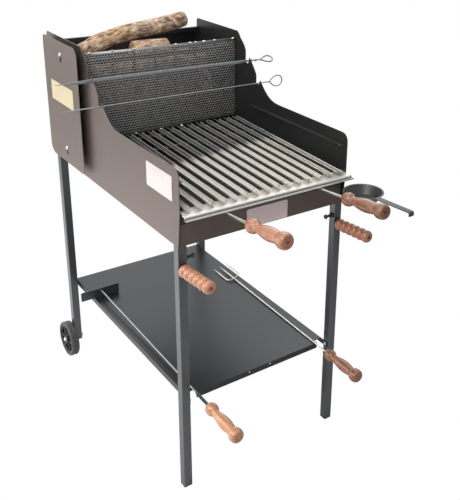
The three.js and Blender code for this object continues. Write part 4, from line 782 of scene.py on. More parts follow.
def cut_wood_material():
    """Sawn end of a log: growth rings and clouds."""
    ring_tones, cloud_tone = ((0.30, 0.20, 0.11), (0.56, 0.45, 0.28)), (0.40, 0.33, 0.2)
    material, tree, shader = start_material("cut_wood")
    vector = local_coordinates(tree)
    inputs = {"Vector": vector, "Scale": 110.0, "Distortion": 3.0, "Detail": 2.0}
    rings = make(tree, "ShaderNodeTexWave", inputs, wave_type="RINGS", rings_direction="Z").outputs["Fac"]
    clouds, grain = mottled(tree, vector, 60.0, 10.0)
    colour = blend(tree, clouds, graded(tree, rings, *ring_tones), cloud_tone)
    give(shader, {"Base Color": colour, "Roughness": 0.9})
    bumped(tree, shader, grain, 0.5, 0.6)
    return material


PAINT_TONES = ((0.113, 0.088, 0.078), (0.131, 0.102, 0.091))
SOOT_TONES = ((0.030, 0.030, 0.031), (0.042, 0.042, 0.043))
FRAME_TONES = ((0.031, 0.033, 0.036), (0.040, 0.043, 0.047))
LEG_TONES = ((0.088, 0.098, 0.106), (0.106, 0.118, 0.127))
SCREEN_TONES = ((0.22, 0.218, 0.216), (0.28, 0.277, 0.275))
GRATE_TONES = ((0.58, 0.55, 0.505), (0.69, 0.665, 0.62))
GUTTER_TONES = ((0.66, 0.65, 0.625), (0.76, 0.75, 0.72))
ROD_TONES = ((0.48, 0.475, 0.46), (0.66, 0.65, 0.63))
DARK_STEEL_TONES = ((0.065, 0.073, 0.08), (0.115, 0.127, 0.135))
SKEWER_TONES = ((0.23, 0.25, 0.265), (0.33, 0.35, 0.365))
ZINC_TONES = ((0.55, 0.56, 0.57), (0.72, 0.73, 0.74))
GRATE_GLOSS = (0.42, 0.52)

PAINT = paint_material("brown_grey_paint", PAINT_TONES, 0.5, (0.36, 0.44))
# Side panels and rear wall: the same paint, darker inside the box as painted shade
PANEL = paint_material("panel_paint", PAINT_TONES, 0.5, (0.36, 0.44), (0.036, 0.036, 0.037))
SOOTED = paint_material("sooted_paint", SOOT_TONES, 0.3, (0.42, 0.5))
FRAME = paint_material("blue_grey_paint", FRAME_TONES, 0.75, (0.3, 0.38))
SCREEN = steel_material("screen_sheet", SCREEN_TONES, (0.42, 0.52), (1.0, 1.0, 0.2), metallic=0.75)
LEGS = paint_material("leg_paint", LEG_TONES, 0.75, (0.3, 0.38))
STEEL = grate_material()
GUTTER_STEEL = gutter_material()
ROD_STEEL = steel_material("rod_steel", ROD_TONES, (0.25, 0.38), (1.0, 1.0, 0.03), local_coordinates)
DARK_STEEL = steel_material("dark_steel", DARK_STEEL_TONES, (0.38, 0.5), (1.0, 1.0, 0.05), local_coordinates)
SKEWER_STEEL = steel_material(
    "skewer_steel", SKEWER_TONES, (0.36, 0.46), (1.0, 1.0, 0.05), local_coordinates, metallic=0.7,
)
ZINC = steel_material("zinc", ZINC_TONES, (0.25, 0.4), (1.0, 1.0, 1.0))
ENAMEL = plain_material("black_enamel", (0.034, 0.036, 0.04), 0.42, scale=25.0, bump=0.06)
RUBBER = plain_material("grey_rubber", (0.045, 0.049, 0.051), 0.6, scale=60.0)
PLASTIC = plain_material("black_plastic", (0.018, 0.019, 0.021), 0.42, scale=50.0)
WOODS = {
    "grate_left": wood_material("varnished_wood", (0.28, 0.105, 0.052), (0.62, 0.29, 0.165)),
    "grate_right": wood_material("darker_wood", (0.14, 0.052, 0.026), (0.37, 0.155, 0.082)),
    "push_left": wood_material("light_beads", (0.43, 0.175, 0.09), (0.57, 0.27, 0.15)),
    "push_right": wood_material("beads", (0.33, 0.128, 0.066), (0.44, 0.188, 0.102)),
    "rake": wood_material("orange_wood", (0.37, 0.14, 0.065), (0.66, 0.34, 0.18)),
    "fork": wood_material("red_brown_wood", (0.15, 0.046, 0.02), (0.38, 0.145, 0.068)),
}
BARK = bark_material()
CUT_WOOD = cut_wood_material()
PINK_PLATE = plain_material("bare_pink_plate", (0.95, 0.79, 0.79), 0.4, scale=30.0, change=0.06, bump=0.04)
PLATE = plain_material("bare_plate", (0.74, 0.70, 0.68), 0.4, scale=30.0, change=0.06, bump=0.04)
CREAM_PLATE = plain_material("bare_cream_plate", (0.80, 0.68, 0.44), 0.4, scale=30.0, change=0.08, bump=0.04)


# Carried-over CAD pieces

def dress_body():
    """Finishes of the sheet metal, the legs, the grate and the small parts that stay as the CAD has them."""
    for name in ("side_panel_left", "side_panel_right", "rear_wall"):
        dress(name, PANEL)
    for name in ("front_panel", "heat_shield", "pan_tongue"):
        dress(name, PAINT)
    for name in ("ash_floor", "screen_frame", "basket_floor"):
        dress(name, SOOTED)
    for name, _ in SIDES:
        dress(f"grate_ledge_{name}", SOOTED)
        dress(f"upper_ledge_{name}", SOOTED)
        dress(f"leg_front_{name}", LEGS, TUBE_BEVEL)
        dress(f"leg_rear_{name}", LEGS, TUBE_BEVEL)
        dress(f"foot_plug_{name}", PLASTIC)
        dress(f"push_handle_screw_{name}", ZINC)
    for number in range(1, 5):
        dress(f"shelf_screw_{number}", ZINC)
    dress("shelf", FRAME)
    dress("grate_bars", STEEL, BAR_BEVEL)
    dress("grate_gutter", GUTTER_STEEL, BAR_BEVEL)


# Perforated screen with staggered round holes

def screen_cell():
    """One cell: eight points round it, sixteen (r cos a, r sin a) round its hole, and faces between them."""
    half, rise = HOLE_PITCH / 2, HOLE_ROW / 2
    edge = (
        (half, 0), (half, rise), (0, rise), (-half, rise),
        (-half, 0), (-half, -rise), (0, -rise), (half, -rise),
    )
    near = np.arange(len(edge))
    hole = len(edge) + (2 * near + np.arange(3)[:, None]) % (2 * len(edge))
    triangles = np.stack((near, hole[1], hole[0]), 1)
    quads = np.stack((near, np.roll(near, -1), hole[2], hole[1]), 1)
    return np.vstack((edge, circle(HOLE_RADIUS, 2 * len(edge)))), (triangles, quads)


def perforated_screen():
    """Sheet in the plane of x and z: rows of cells, staggered by half a pitch, with plain strips round."""
    low, high = SCREEN_BOTTOM + SCREEN_FOOT, SCREEN_TOP - SCREEN_HEAD
    rows = int((high - low) / HOLE_ROW)
    columns = int(2 * INSIDE / HOLE_PITCH) - 1
    row = np.arange(rows)
    bottom = low + row * HOLE_ROW
    top = bottom + HOLE_ROW
    start = (row % 2 / 2 - 1 / 4 - columns / 2) * HOLE_PITCH
    end = start + columns * HOLE_PITCH
    x = start[:, None] + (np.arange(columns) + 1 / 2) * HOLE_PITCH
    middles = np.dstack(np.broadcast_arrays(x, (bottom + HOLE_ROW / 2)[:, None])).reshape(-1, 1, 2)
    template, blocks = screen_cell()
    cells = (middles + template).reshape(-1, 2)
    first = np.arange(len(middles))[:, None, None] * len(template)
    faces = [(block + first).reshape(-1, block.shape[1]) for block in blocks]
    wall = np.full(rows, INSIDE)
    strips = np.vstack((
        np.stack((-wall, bottom, start, top), 1),
        np.stack((end, bottom, wall, top), 1),
        (-INSIDE, SCREEN_BOTTOM, INSIDE, low),
        (-INSIDE, top[-1], INSIDE, SCREEN_TOP),
    ))
    corners = strips[:, (0, 1, 2, 1, 2, 3, 0, 3)].reshape(-1, 2)
    flat, faces, _ = merge((cells, faces, cells), (corners, [np.arange(len(corners)).reshape(-1, 4)], corners))
    return np.insert(flat, 1, SCREEN_FRONT, axis=1), faces, np.insert(flat, 2, 0, axis=1)


def add_screen():
    """Ember screen with its thickness, and the weld spots that hold it to its frame."""
    sheet = add("perforated_screen", perforated_screen(), "stand", SCREEN, ["fire_screen"])
    merged = bmesh.new()
    merged.from_mesh(sheet.data)
    bmesh.ops.remove_doubles(merged, verts=merged.verts, dist=WELD)
    bmesh.ops.reverse_faces(merged, faces=[face for face in merged.faces if face.normal.y > 0])
    merged.to_mesh(sheet.data)
    merged.free()
    thick = sheet.modifiers.new("thickness", "SOLIDIFY")
    thick.thickness = THIN_SHEET * MM
    thick.offset = -1
    _, deep, high = WELD_SPOT
    spots = [(x, SCREEN_TOP - high / 3) for x in WELD_SPOTS_TOP]
    spots += [(x, SCREEN_BOTTOM + high) for x in WELD_SPOTS_FOOT]
    welds = [weld_spot((x, SCREEN_FRONT - deep / 4, z), WELD_SPOT, seed) for seed, (x, z) in enumerate(spots)]
    add("screen_welds", merge(*welds), "stand", ZINC)


# Plain plates

def add_plates():
    """Bare plates on the front panel, the left panel and the shield."""
    front = slab(rounded(*FRONT_PLATE, PLATE_CORNER), -PLATE_THICKNESS, 0, FRONT_FACE)
    add("front_plate", front, "stand", PINK_PLATE)
    left = slab(rounded(*LEFT_PLATE, PLATE_CORNER), -PLATE_THICKNESS, 0, LEFT_FACE, (-HALF, 0, 0))
    add("left_plate", left, "stand", PLATE)
    outer = ((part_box("heat_shield")[0][0] - ORIGIN.x) / MM, 0, 0)
    shield = slab(rounded(*SHIELD_PLATE, SHIELD_PLATE_CORNER), -PLATE_THICKNESS, 0, LEFT_FACE, outer)
    add("shield_plate", shield, "shield", CREAM_PLATE)


# Handles

def turned_profile(scale, bore, plug):
    """Turned handle: a Catmull-Rom curve through its shares, its rod's bore, and a bored or plugged end."""
    length = HANDLE_LENGTH * scale
    outline = catmull(HANDLE_SHARES, CURVE_STEPS) * (length, HANDLE_RADIUS * scale)
    wide, deep = (2 * bore, bore / 4) if plug else (bore, bore)
    return np.vstack(((0, bore), outline, (length, wide), (length - deep, wide), (length - deep, 0)))


def add_handle(name, start, way, scale, bore, body, node, wood, plug=False):
    """Turned wooden handle in place of its CAD node."""
    add(name, lathe(turned_profile(scale, bore, plug), start, way), body, WOODS[wood], [node])


def add_grate_handles():
    """Turned grips on rods that bend up to the gutter's underside."""
    way = np.array((0, -math.cos(GRATE_HANDLE_RISE), math.sin(GRATE_HANDLE_RISE)))
    reach = GRATE_HANDLE_FRONT - HANDLE_LENGTH * math.cos(GRATE_HANDLE_RISE) + GRATE_ROD_PASS[0]
    for name, side in SIDES:
        x = side * GRATE_HANDLE_SPREAD
        bend = np.array((x, *GRATE_ROD_PASS))
        start = bend + way * reach / math.cos(GRATE_HANDLE_RISE)
        node = f"grate_handle_{name}"
        add_handle(f"wooden_grip_{name}", start, way, 1, HANDLE_BORE, "grate", node, f"grate_{name}")
        middle = (x, GRATE_FRONT - GRATE_ROD, GRATE_ROD_LEVEL - GRATE_ROD_SAG)
        rear = (x, GRATE_ROD_REAR, GRATE_ROD_LEVEL)
        line = catmull([start + way * HANDLE_LENGTH / 2, start, bend, middle, rear], CURVE_STEPS)
        rod = tube(line, GRATE_ROD / 2)
        add(f"grip_rod_{name}", rod, "grate", ROD_STEEL, [f"grate_handle_rod_{name}"])


def beaded_profile():
    """Beads side by side: each an arc, r = R - q + sqrt(q2 - x2), cut off at the groove between them."""
    pitch = PUSH_LENGTH / BEADS
    low = BEAD_RADIUS - BEAD_GROOVE
    sunk = PUSH_LENGTH - PUSH_SUNK
    x = ((np.arange(BEAD_STEPS) + 1 / 2) / BEAD_STEPS - 1 / 2) * pitch
    arc = BEAD_RADIUS - BEAD_ROUND + np.sqrt(np.maximum(0, BEAD_ROUND ** 2 - x ** 2))
    along = (np.arange(BEADS)[:, None] + 1 / 2) * pitch + x
    beads = np.dstack(np.broadcast_arrays(along, np.maximum(low, arc))).reshape(-1, 2)
    foot = [(0, PUSH_BORE), (0, low - BEAD_END)]
    end = [(PUSH_LENGTH, low - BEAD_END), (PUSH_LENGTH, PUSH_BORE), (sunk, PUSH_BORE), (sunk, 0)]
    return np.vstack((foot, beads, end))


def add_push_handles():
    """Beaded grips that stand out of the front legs, a little upward."""
    way = np.array((0, -math.cos(PUSH_RISE), math.sin(PUSH_RISE)))
    for name, side in SIDES:
        foot = (side * (HALF - LEG / 2), 0, PUSH_HEIGHT) + way * PUSH_STAND_OFF
        grip = lathe(beaded_profile(), foot, way)
        add(f"beaded_grip_{name}", grip, "stand", WOODS[f"push_{name}"], [f"push_handle_{name}"])


# Bolts and screws with round or six-sided heads

def hexagon(radius, low, high, start, way):
    """Six-sided nut with rounded corners."""
    bevel = (high - low) * NUT_BEVEL_SHARE
    narrow = radius * NUT_CORNER_SHARE
    profile = [(low, 0), (low, narrow), (low + bevel, radius)]
    profile += [(high - bevel, radius), (high, narrow), (high, 0)]
    return lathe(profile, start, way, 6)


def add_bolts():
    """Clamp bolts of the front legs, screws of the upper ledges, and the shield's two shouldered screws."""
    for name, side in SIDES:
        way = (-side, 0, 0)
        face = (side * (HALF - LEG), LEG / 2, CLAMP_HEIGHT)
        head, nut = (hexagon(*sizes, face, way) for sizes in CLAMP_NUTS)
        bolt = merge(head, lathe(CLAMP_SHANK, face, way, THIN_ROUND), nut)
        add(f"clamp_screw_{name}", bolt, "stand", PLASTIC, [f"clamp_bolt_{name}"], NUT_SHARP)
        screw = lathe(LEDGE_SCREW, (side * (INSIDE - THIN_SHEET), *LEDGE_SCREW_PLACE), way, THIN_ROUND)
        add(f"ledge_pan_head_{name}", screw, "stand", ZINC, [f"ledge_screw_{name}"])
    for number, place in enumerate(SHIELD_SCREW_PLACES, 1):
        screw = lathe(SHIELD_SCREW, (-HALF, *place), (-1, 0, 0), THIN_ROUND)
        add(f"shouldered_screw_{number}", screw, "stand", ZINC, [f"shield_screw_{number}"])


# Wheels

def tyre_profile(half, rim):
    """Tyre's section: foot, round shoulder m + r (-cos a, sin a) and half a groove, then their mirror image."""
    angle = np.linspace(0, TAU / 4, CURVE_STEPS + 1)
    corner = np.array((TYRE_ROUND - half, WHEEL_RADIUS - TYRE_ROUND))
    shoulder = corner + TYRE_ROUND * np.stack((-np.cos(angle), np.sin(angle)), 1)
    foot = TYRE_FOOT + np.array((-half, rim))
    groove = TYRE_GROOVE + np.array((0, WHEEL_RADIUS))
    return mirrored(np.vstack((foot, shoulder, groove)))


def wheel_disc(middle, way, half, rim):
    """Moulded wheel: a rim, a hub with its bore, a thin web and ribs like spokes."""
    inner, edge, foot = rim - RIM_DEPTH, half - RIM_INSET, HUB_RADIUS - WHEEL_OVERLAP
    outer = inner + WHEEL_OVERLAP
    ring = [(-edge, inner), (-edge, rim), (edge, rim), (edge, inner + RIM_BEVEL), (edge - RIM_BEVEL, inner)]
    web = [(-WEB_HALF, foot), (-WEB_HALF, outer), (WEB_HALF, outer), (WEB_HALF, foot)]
    hub = [(-half - HUB_PROUD, HUB_BORE), (-half - HUB_PROUD, HUB_RADIUS), (half - HUB_BEVEL, HUB_RADIUS)]
    hub += [(half, HUB_RADIUS - HUB_BEVEL), (half, HUB_BORE)]
    turned = [lathe(ring, middle, way, 2 * ROUND, True), lathe(web, middle, way, 2 * ROUND, True)]
    turned += [lathe(hub, middle, way, ROUND, True)]
    u, v, w = axes_of(way)
    rib = rounded((foot, SPOKE_INSET - edge), (outer, edge - SPOKE_INSET), SPOKE_CORNER, SPOKE_CORNER_STEPS)
    outward = [u * math.cos(angle) + v * math.sin(angle) for angle in TAU * np.arange(SPOKES) / SPOKES]
    ribs = [slab(rib, -SPOKE_HALF, SPOKE_HALF, (out, w, np.cross(w, out)), middle) for out in outward]
    return merge(*turned, *ribs)


def add_wheels():
    """Wheels with rubber tyres, on bolts through the rear legs."""
    half, rim = WHEEL_WIDTH / 2, WHEEL_RADIUS - TYRE_DEPTH
    cap = AXLE_CAP + np.array((WHEEL_STAND_OFF + WHEEL_WIDTH + GAP, 0))
    bolt = np.vstack((AXLE_NUT + np.array((-LEG - GAP, 0)), cap))
    for name, side in SIDES:
        way, body = (side, 0, 0), f"wheel_{name}"
        middle = (side * (HALF + WHEEL_STAND_OFF + half), WHEEL_Y, WHEEL_RADIUS)
        tyre = lathe(tyre_profile(half, rim), middle, way, 2 * ROUND, True)
        add(f"rubber_tyre_{name}", tyre, body, RUBBER, [f"tyre_{name}"])
        disc = wheel_disc(middle, way, half, rim)
        add(f"wheel_disc_{name}", disc, body, PLASTIC, [f"wheel_hub_{name}"])
        axle = lathe(bolt, (side * HALF, WHEEL_Y, WHEEL_RADIUS), way, THIN_ROUND)
        add(f"wheel_bolt_{name}", axle, "stand", ZINC, [f"axle_bolt_{name}"])


# Grease pan

def pan_profile():
    """Bowl's section from its middle out, over the rolled lip and back inside, by Catmull-Rom curves."""
    base, rim = np.array((-PAN_DEPTH, PAN_BASE)), np.array((0, PAN_RADIUS))
    foot = catmull(PAN_FOOT + base, CURVE_STEPS)
    roll = catmull(PAN_ROLL + rim, CURVE_STEPS)
    inside = catmull([PAN_INNER_LIP + rim, *(PAN_INNER_FOOT + base), (PAN_WALL - PAN_DEPTH, 0)], CURVE_STEPS)
    return np.vstack(((-PAN_DEPTH, 0), foot, PAN_NECK + rim, roll, inside))


def add_pan():
    """Grease pan and its handle, a flat strap that is hooked down at its end."""
    bowl = lathe(pan_profile(), PAN_MIDDLE, (0, 0, 1), 2 * ROUND)
    turn = np.array(Matrix.Rotation(PAN_BAR_TURN, 3, "Z"))
    rise = turn @ (0, -math.cos(PAN_BAR_RISE), math.sin(PAN_BAR_RISE))
    down = turn @ (0, -math.sin(PAN_BAR_RISE), -math.cos(PAN_BAR_RISE))
    root = PAN_MIDDLE + turn @ (0, PAN_WALL - PAN_RADIUS, -PAN_BAR_THICKNESS / 2)
    tip = root + rise * PAN_BAR_LENGTH
    bend = [tip - rise * PAN_HOOK_BEND, tip + (down - rise) * PAN_HOOK_ROUND, tip + down * PAN_HOOK_BEND]
    hook = np.vstack((catmull(bend, CURVE_STEPS), tip + down * PAN_HOOK))
    path = np.vstack((root, root + rise * PAN_BAR_LENGTH / 2, hook))
    half = np.array((PAN_BAR_THICKNESS, PAN_BAR_WIDTH)) / 2
    strap = rounded(-half, half, half[0] * PAN_BAR_ROUND_SHARE, PAN_BAR_CORNER_STEPS)
    add("grease_pan_bowl", merge(bowl, sweep(path, strap[::-1, ::-1])), "pan", ENAMEL, ["grease_pan"])


# Skewers

def eye_path(neck, length, width, sideways, shares):
    """Closed eye: p = neck + a length x + b width sideways, out on one side and back on the other."""
    shares = np.array(shares, float)
    a, b = np.vstack((shares, shares[-2::-1] * (1, -1))).T
    sides = np.array(neck) + np.outer(a * length, (1, 0, 0)) + np.outer(b * width, sideways)
    return catmull(sides, 2 * CURVE_STEPS)


def superellipses(width, height, power):
    """From round to flat bars: (w / 2 c |c|^(2/p - 1), h / 2 s |s|^(2/p - 1)), c = cos a and s = sin a."""
    way = circle(1)
    sizes = np.stack((width, height), 1)[:, None]
    return np.sign(way) * np.abs(way) ** (2 / power[:, None, None]) * sizes / 2


def add_flat_skewer():
    """Flat blade with a long point, twisted into a wire that ends in an eye."""
    start, end = FLAT_TWIST
    knots = (FLAT_TIP, FLAT_TIP + FLAT_POINT, start, end + FLAT_OVERLAP)
    x = np.unique(np.hstack([np.linspace(*span) for span in zip(knots, knots[1:], FLAT_STATIONS)]))
    tip = np.minimum(1, np.maximum(FLAT_POINT_END_SHARE, (x - FLAT_TIP) / FLAT_POINT) ** FLAT_POINT_POWER)
    turn = np.clip((x - start) / (end - start), 0, 1)
    thin, wide = FLAT_WIRE_SHARES
    thick = FLAT_THICKNESS * np.minimum(1, tip * 2) * (1 - turn) + FLAT_WIRE * thin * turn
    width = FLAT_HEIGHT * tip * (1 - turn) + FLAT_WIRE * wide * turn
    cosine, sine = np.cos(TAU * FLAT_TURNS * turn), np.sin(TAU * FLAT_TURNS * turn)
    twist = np.array(((cosine, sine), (-sine, cosine))).transpose(2, 0, 1)
    outlines = superellipses(thick, width, 4 - 2 * turn) @ twist
    blade = sweep(np.stack(np.broadcast_arrays(x, FLAT_Y, FLAT_Z), 1), outlines)
    sideways = (0, math.cos(FLAT_LOOP_TILT), math.sin(FLAT_LOOP_TILT))
    eye = tube(eye_path((end, FLAT_Y, FLAT_Z), *FLAT_LOOP, sideways, FLAT_LOOP_SHARES), FLAT_WIRE / 2)
    add("flat_skewer_blade", merge(blade, eye), "flat_skewer", SKEWER_STEEL, ["skewer_flat"])


def add_round_skewer():
    """Round needle that ends in an eye."""
    radius, length = ROUND_SKEWER / 2, ROUND_END - ROUND_TIP
    profile = [(0, 0), ROUND_POINT_END, (ROUND_POINT, radius), (length, radius), (length + ROUND_OVERLAP, 0)]
    needle = lathe(profile, (ROUND_TIP, ROUND_Y, ROUND_Z), (1, 0, 0), THIN_ROUND)
    eye = tube(eye_path((ROUND_END, ROUND_Y, ROUND_Z), *ROUND_LOOP, (0, 0, 1), ROUND_LOOP_SHARES), radius)
    add("round_skewer_rod", merge(needle, eye), "round_skewer", SKEWER_STEEL, ["skewer_round"])


# Rake and fork

def tool_line(rear, lip, handle):
    """A tool's direction from its rear end over the shelf's lip, and its place where the handle starts."""
    way = unit(np.subtract(lip, rear))
    return way, rear + way * (rear[1] - handle) / -way[1]


def add_rake():
    """Ember rake: a blade welded to a rod, which a sleeve joins to the turned handle."""
    (left, front, bottom), (right, back, top) = RAKE_BLADE
    blade = slab(rounded((left, bottom), (right, top), RAKE_CORNER), front, back, FRONT_FACE)
    weld = weld_spot(np.subtract(RAKE_ROD_REAR, (0, RAKE_WELD_FRONT, 0)), *RAKE_WELD)
    way, start = tool_line(RAKE_ROD_REAR, RAKE_ROD_LIP, RAKE_HANDLE_Y)
    sleeve_start = start - way * RAKE_SLEEVE_LENGTH
    radius, length = RAKE_SLEEVE / 2, RAKE_SLEEVE_LENGTH + RAKE_SLEEVE_SUNK
    profile = [(0, 0), (0, radius - RAKE_SLEEVE_BEVEL), (RAKE_SLEEVE_BEVEL, radius)]
    profile += [(length, radius), (length, 0)]
    sleeve = lathe(profile, sleeve_start, way, THIN_ROUND)
    add("rake_plate", merge(blade, weld, sleeve), "ember_rake", DARK_STEEL, ["rake"])
    rod = tube([RAKE_ROD_REAR, sleeve_start, start], RAKE_ROD / 2)
    add("rake_shaft", rod, "ember_rake", SKEWER_STEEL)
    bore = radius + GAP
    add_handle("wooden_rake_grip", start, way, TOOL_SCALE, bore, "ember_rake", "rake_handle", "rake", True)


def pointed(path):
    """Round rod that narrows to a point over its last stations."""
    left = np.arange(len(path))[::-1]
    radii = FORK_ROD / 2 * np.minimum(1, FORK_POINT_SHARE + (1 - FORK_POINT_SHARE) * left / FORK_POINT_STATIONS)
    return sweep(path, circle(1) * radii[:, None, None])


def add_fork():
    """Fork with three prongs: the rod's own end, and two that bend out of it, p = root + a sideways - b way."""
    way, start = tool_line(FORK_REAR, FORK_LIP, FORK_HANDLE_Y)
    sideways = (math.cos(FORK_ROLL), 0, math.sin(FORK_ROLL))
    normal = np.array((-math.sin(FORK_ROLL), 0, math.cos(FORK_ROLL)))
    root = FORK_REAR + normal * FORK_LIFT
    bend = catmull([(0, 0), (FORK_SPREAD - FORK_SHOULDER, 0), (FORK_SPREAD, FORK_SHOULDER)], CURVE_STEPS)
    straight = np.linspace((FORK_SPREAD, 2 * FORK_SHOULDER), (FORK_SPREAD, FORK_PRONG), FORK_STATIONS)
    flat = np.vstack((bend, straight))
    prongs = [pointed(root + flat * (side, 1) @ (sideways, -way)) for _, side in SIDES]
    end = FORK_REAR - np.outer(np.linspace(0, FORK_PRONG, FORK_STATIONS), way)
    middle = pointed(np.vstack((start + way * FORK_ROD_SUNK, start, end)))
    weld = weld_spot(FORK_REAR + normal * FORK_LIFT / 2, *FORK_WELD)
    add("fork_prongs", merge(middle, weld, *prongs), "meat_fork", ROD_STEEL, ["fork"])
    bore = FORK_ROD / 2 + GAP
    add_handle("wooden_fork_grip", start, way, TOOL_SCALE, bore, "meat_fork", "fork_handle", "fork", True)


# Firewood

def log_geometry(middle, way, radius, length, seed, bend):
    """Crooked log: r(s, a) = R (1 - lumps - knots) - cracks by noise, lifted by 27/4 bend t (1 - t)2."""
    axes = axes_of(way)
    up = unit((0, 0, 1) - axes[2] * axes[2, 2])
    shift = seed * np.array(LOG_SEED_STEP)
    s = np.arange(LOG_LONG + 1)[:, None] / LOG_LONG - 1 / 2
    across, around = circle(1, LOG_ROUND).T
    skin = np.dstack(np.broadcast_arrays(radius * across, radius * around, s * length))
    spots = skin / LOG_LUMP_GRAIN + shift
    lumps = LOG_LUMPS * (1 + noise_at(spots * LOG_LUMP_SCALE)) / 2
    knots = LOG_KNOTS * np.maximum(0, noise_at(spots * LOG_KNOT_SCALE) - LOG_KNOT_START)
    cracks = LOG_BARK * np.maximum(0, noise_at(skin / LOG_BARK_GRAIN + shift))
    rim = np.maximum(0, np.abs(s) - 1 / 2 + LOG_RIM_SHARE) / LOG_RIM_SHARE
    r = (radius * (1 - lumps - knots) - cracks) * (1 - LOG_RIM_LOSS * rim)
    lift = bend * BEND_NORM * (s + 1 / 2) * (1 / 2 - s) ** 2
    local = np.dstack((r * across, r * around, skin[..., 2]))
    points = middle + local @ axes + lift[..., None] * up
    rings = np.arange(r.size).reshape(r.shape)
    faces = [bridge(low, high) for low, high in zip(rings, rings[1:])]
    ends = []
    for station, sign in ((0, -1), (-1, 1)):
        centre = middle + axes[2] * sign * length / 2
        ends.append(log_end(points[station], centre, axes, sign, seed))
    return (points.reshape(-1, 3), faces, local.reshape(-1, 3)), merge(*ends)


def log_end(rim, centre, axes, sign, seed):
    """Sawn end: a ring half-way in from the rim, raised a little, and a middle point."""
    inner = centre + (rim - centre) / 2 + axes[2] * sign * LOG_END_RISE
    points = np.vstack((rim, inner, centre))
    outer_ring, inner_ring, pole = np.split(np.arange(len(points)), (len(rim), 2 * len(rim)))
    local = np.insert((points - centre) @ axes[:2].T, 2, seed, axis=1)
    return points, [bridge(outer_ring, inner_ring), bridge(inner_ring, pole)], local


def add_logs():
    """Firewood as long and thick as its CAD solids, with the leaning log bent between its ends."""
    for seed, name in enumerate(LOGS, 1):
        low, high = (np.array(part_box(name)) - np.array(ORIGIN)) / MM
        middle = (low + high) / 2
        way, length, bend = (1, 0, 0), high[0] - low[0], 0
        radius = max(high[1] - low[1], high[2] - low[2]) / 2
        if name == "log_leaning":
            radius, length, bend = LEANING_RADIUS, LEANING_LENGTH, LEANING_BEND
            level = math.cos(LEANING_RISE)
            way = (level * math.cos(LEANING_TURN), level * math.sin(LEANING_TURN), math.sin(LEANING_RISE))
            middle[2] = low[2] + length / 2 * way[2] + radius * level
        bark, ends = log_geometry(middle, way, radius, length, seed, bend)
        whole = add(f"bark_{name}", merge(bark, ends), "firewood", BARK, [name], BARK_SHARP)
        whole.data.materials.append(CUT_WOOD)
        sawn = np.arange(len(whole.data.polygons)) >= sum(len(block) for block in bark[1])
        whole.data.polygons.foreach_set("material_index", sawn.astype(np.int32))


# Camera, light and floor

def add_camera():
    """Camera turned by its azimuth, elevation and roll, and shifted by its principal point."""
    data = bpy.data.cameras.new("camera")
    camera = bpy.data.objects.new("camera", data)
    scene.collection.objects.link(camera)
    azimuth, elevation, roll = (math.radians(a) for a in (CAMERA_AZIMUTH, CAMERA_ELEVATION, CAMERA_ROLL))
    level = math.cos(elevation)
    forward = Vector((math.sin(azimuth) * level, math.cos(azimuth) * level, -math.sin(elevation)))
    right = Vector((math.cos(azimuth), -math.sin(azimuth), 0))
    up = right.cross(forward)
    tilted_right = right * math.cos(roll) + up * math.sin(roll)
    tilted_up = up * math.cos(roll) - right * math.sin(roll)
    turn = Matrix((tilted_right, tilted_up, -forward)).transposed().to_4x4()
    camera.matrix_world = Matrix.Translation(ORIGIN + Vector(CAMERA_PLACE) * MM) @ turn
    data.sensor_width = SENSOR
    data.lens = SENSOR * FOCAL_PIXELS / max(IMAGE)
    data.shift_x = -(PRINCIPAL[0] - IMAGE[0] / 2) / max(IMAGE)
    data.shift_y = (PRINCIPAL[1] - IMAGE[1] / 2) / max(IMAGE)
    scene.camera = camera


def add_light(name, place, target, size, power, colour):
    """Softbox that shines from its place to its target and that the camera doesn't see."""
    data = bpy.data.lights.new(name, "AREA")
    data.shape = "RECTANGLE"
    data.size, data.size_y = size
    data.energy = power
    data.color = colour
    lamp = bpy.data.objects.new(name, data)
    lamp.location = place
    lamp.rotation_euler = (Vector(target) - Vector(place)).to_track_quat("-Z", "Y").to_euler()
    lamp.visible_camera = False
    scene.collection.objects.link(lamp)


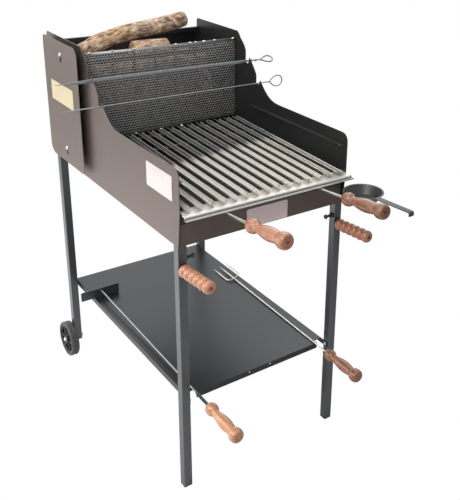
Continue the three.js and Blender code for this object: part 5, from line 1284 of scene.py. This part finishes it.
def add_floor():
    """Pale floor that catches the light and shadows, and is white where the camera sees it directly."""
    mesh = bpy.data.meshes.new("floor")
    low, high = -FLOOR_REACH, FLOOR_REACH
    mesh.from_pydata([(low, low, 0), (high, low, 0), (high, high, 0), (low, high, 0)], [], [(0, 1, 2, 3)])
    floor = bpy.data.objects.new("floor", mesh)
    scene.collection.objects.link(floor)
    material, tree, shader = start_material("pale_floor")
    give(shader, {"Base Color": (0.8, 0.8, 0.8, 1), "Roughness": 0.9})
    seen = make(tree, "ShaderNodeLightPath").outputs["Is Camera Ray"]
    white = make(tree, "ShaderNodeEmission", {"Color": (1, 1, 1, 1), "Strength": 1.0})
    mix = make(tree, "ShaderNodeMixShader", {0: seen, 1: shader.outputs[0], 2: white.outputs[0]})
    give(tree.nodes["Material Output"], {"Surface": mix.outputs[0]})
    mesh.materials.append(material)


def add_world():
    """World that is white to the camera and to mirrored and refracted rays, and lights the grill dimly."""
    world = bpy.data.worlds.new("studio")
    scene.world = world
    world.use_nodes = True
    tree = world.node_tree
    tree.nodes.clear()
    path = make(tree, "ShaderNodeLightPath").outputs
    mirrored_rays = maths(tree, "MAXIMUM", path["Is Glossy Ray"], path["Is Transmission Ray"])
    seen = maths(tree, "MAXIMUM", path["Is Camera Ray"], mirrored_rays)
    dim = make(tree, "ShaderNodeBackground", {"Color": (0.9, 0.95, 1, 1), "Strength": 0.15})
    white = make(tree, "ShaderNodeBackground", {"Color": (1, 1, 1, 1), "Strength": 1.0})
    mix = make(tree, "ShaderNodeMixShader", {0: seen, 1: dim.outputs[0], 2: white.outputs[0]})
    make(tree, "ShaderNodeOutputWorld", {"Surface": mix.outputs[0]})


scene.view_settings.view_transform = "Standard"
add_camera()
add_world()
add_floor()
for lamp_name, lamp in LAMPS.items():
    add_light(lamp_name, *lamp)
dress_body()
add_screen()
add_plates()
add_grate_handles()
add_push_handles()
add_bolts()
add_wheels()
add_pan()
add_flat_skewer()
add_round_skewer()
add_rake()
add_fork()
add_logs()
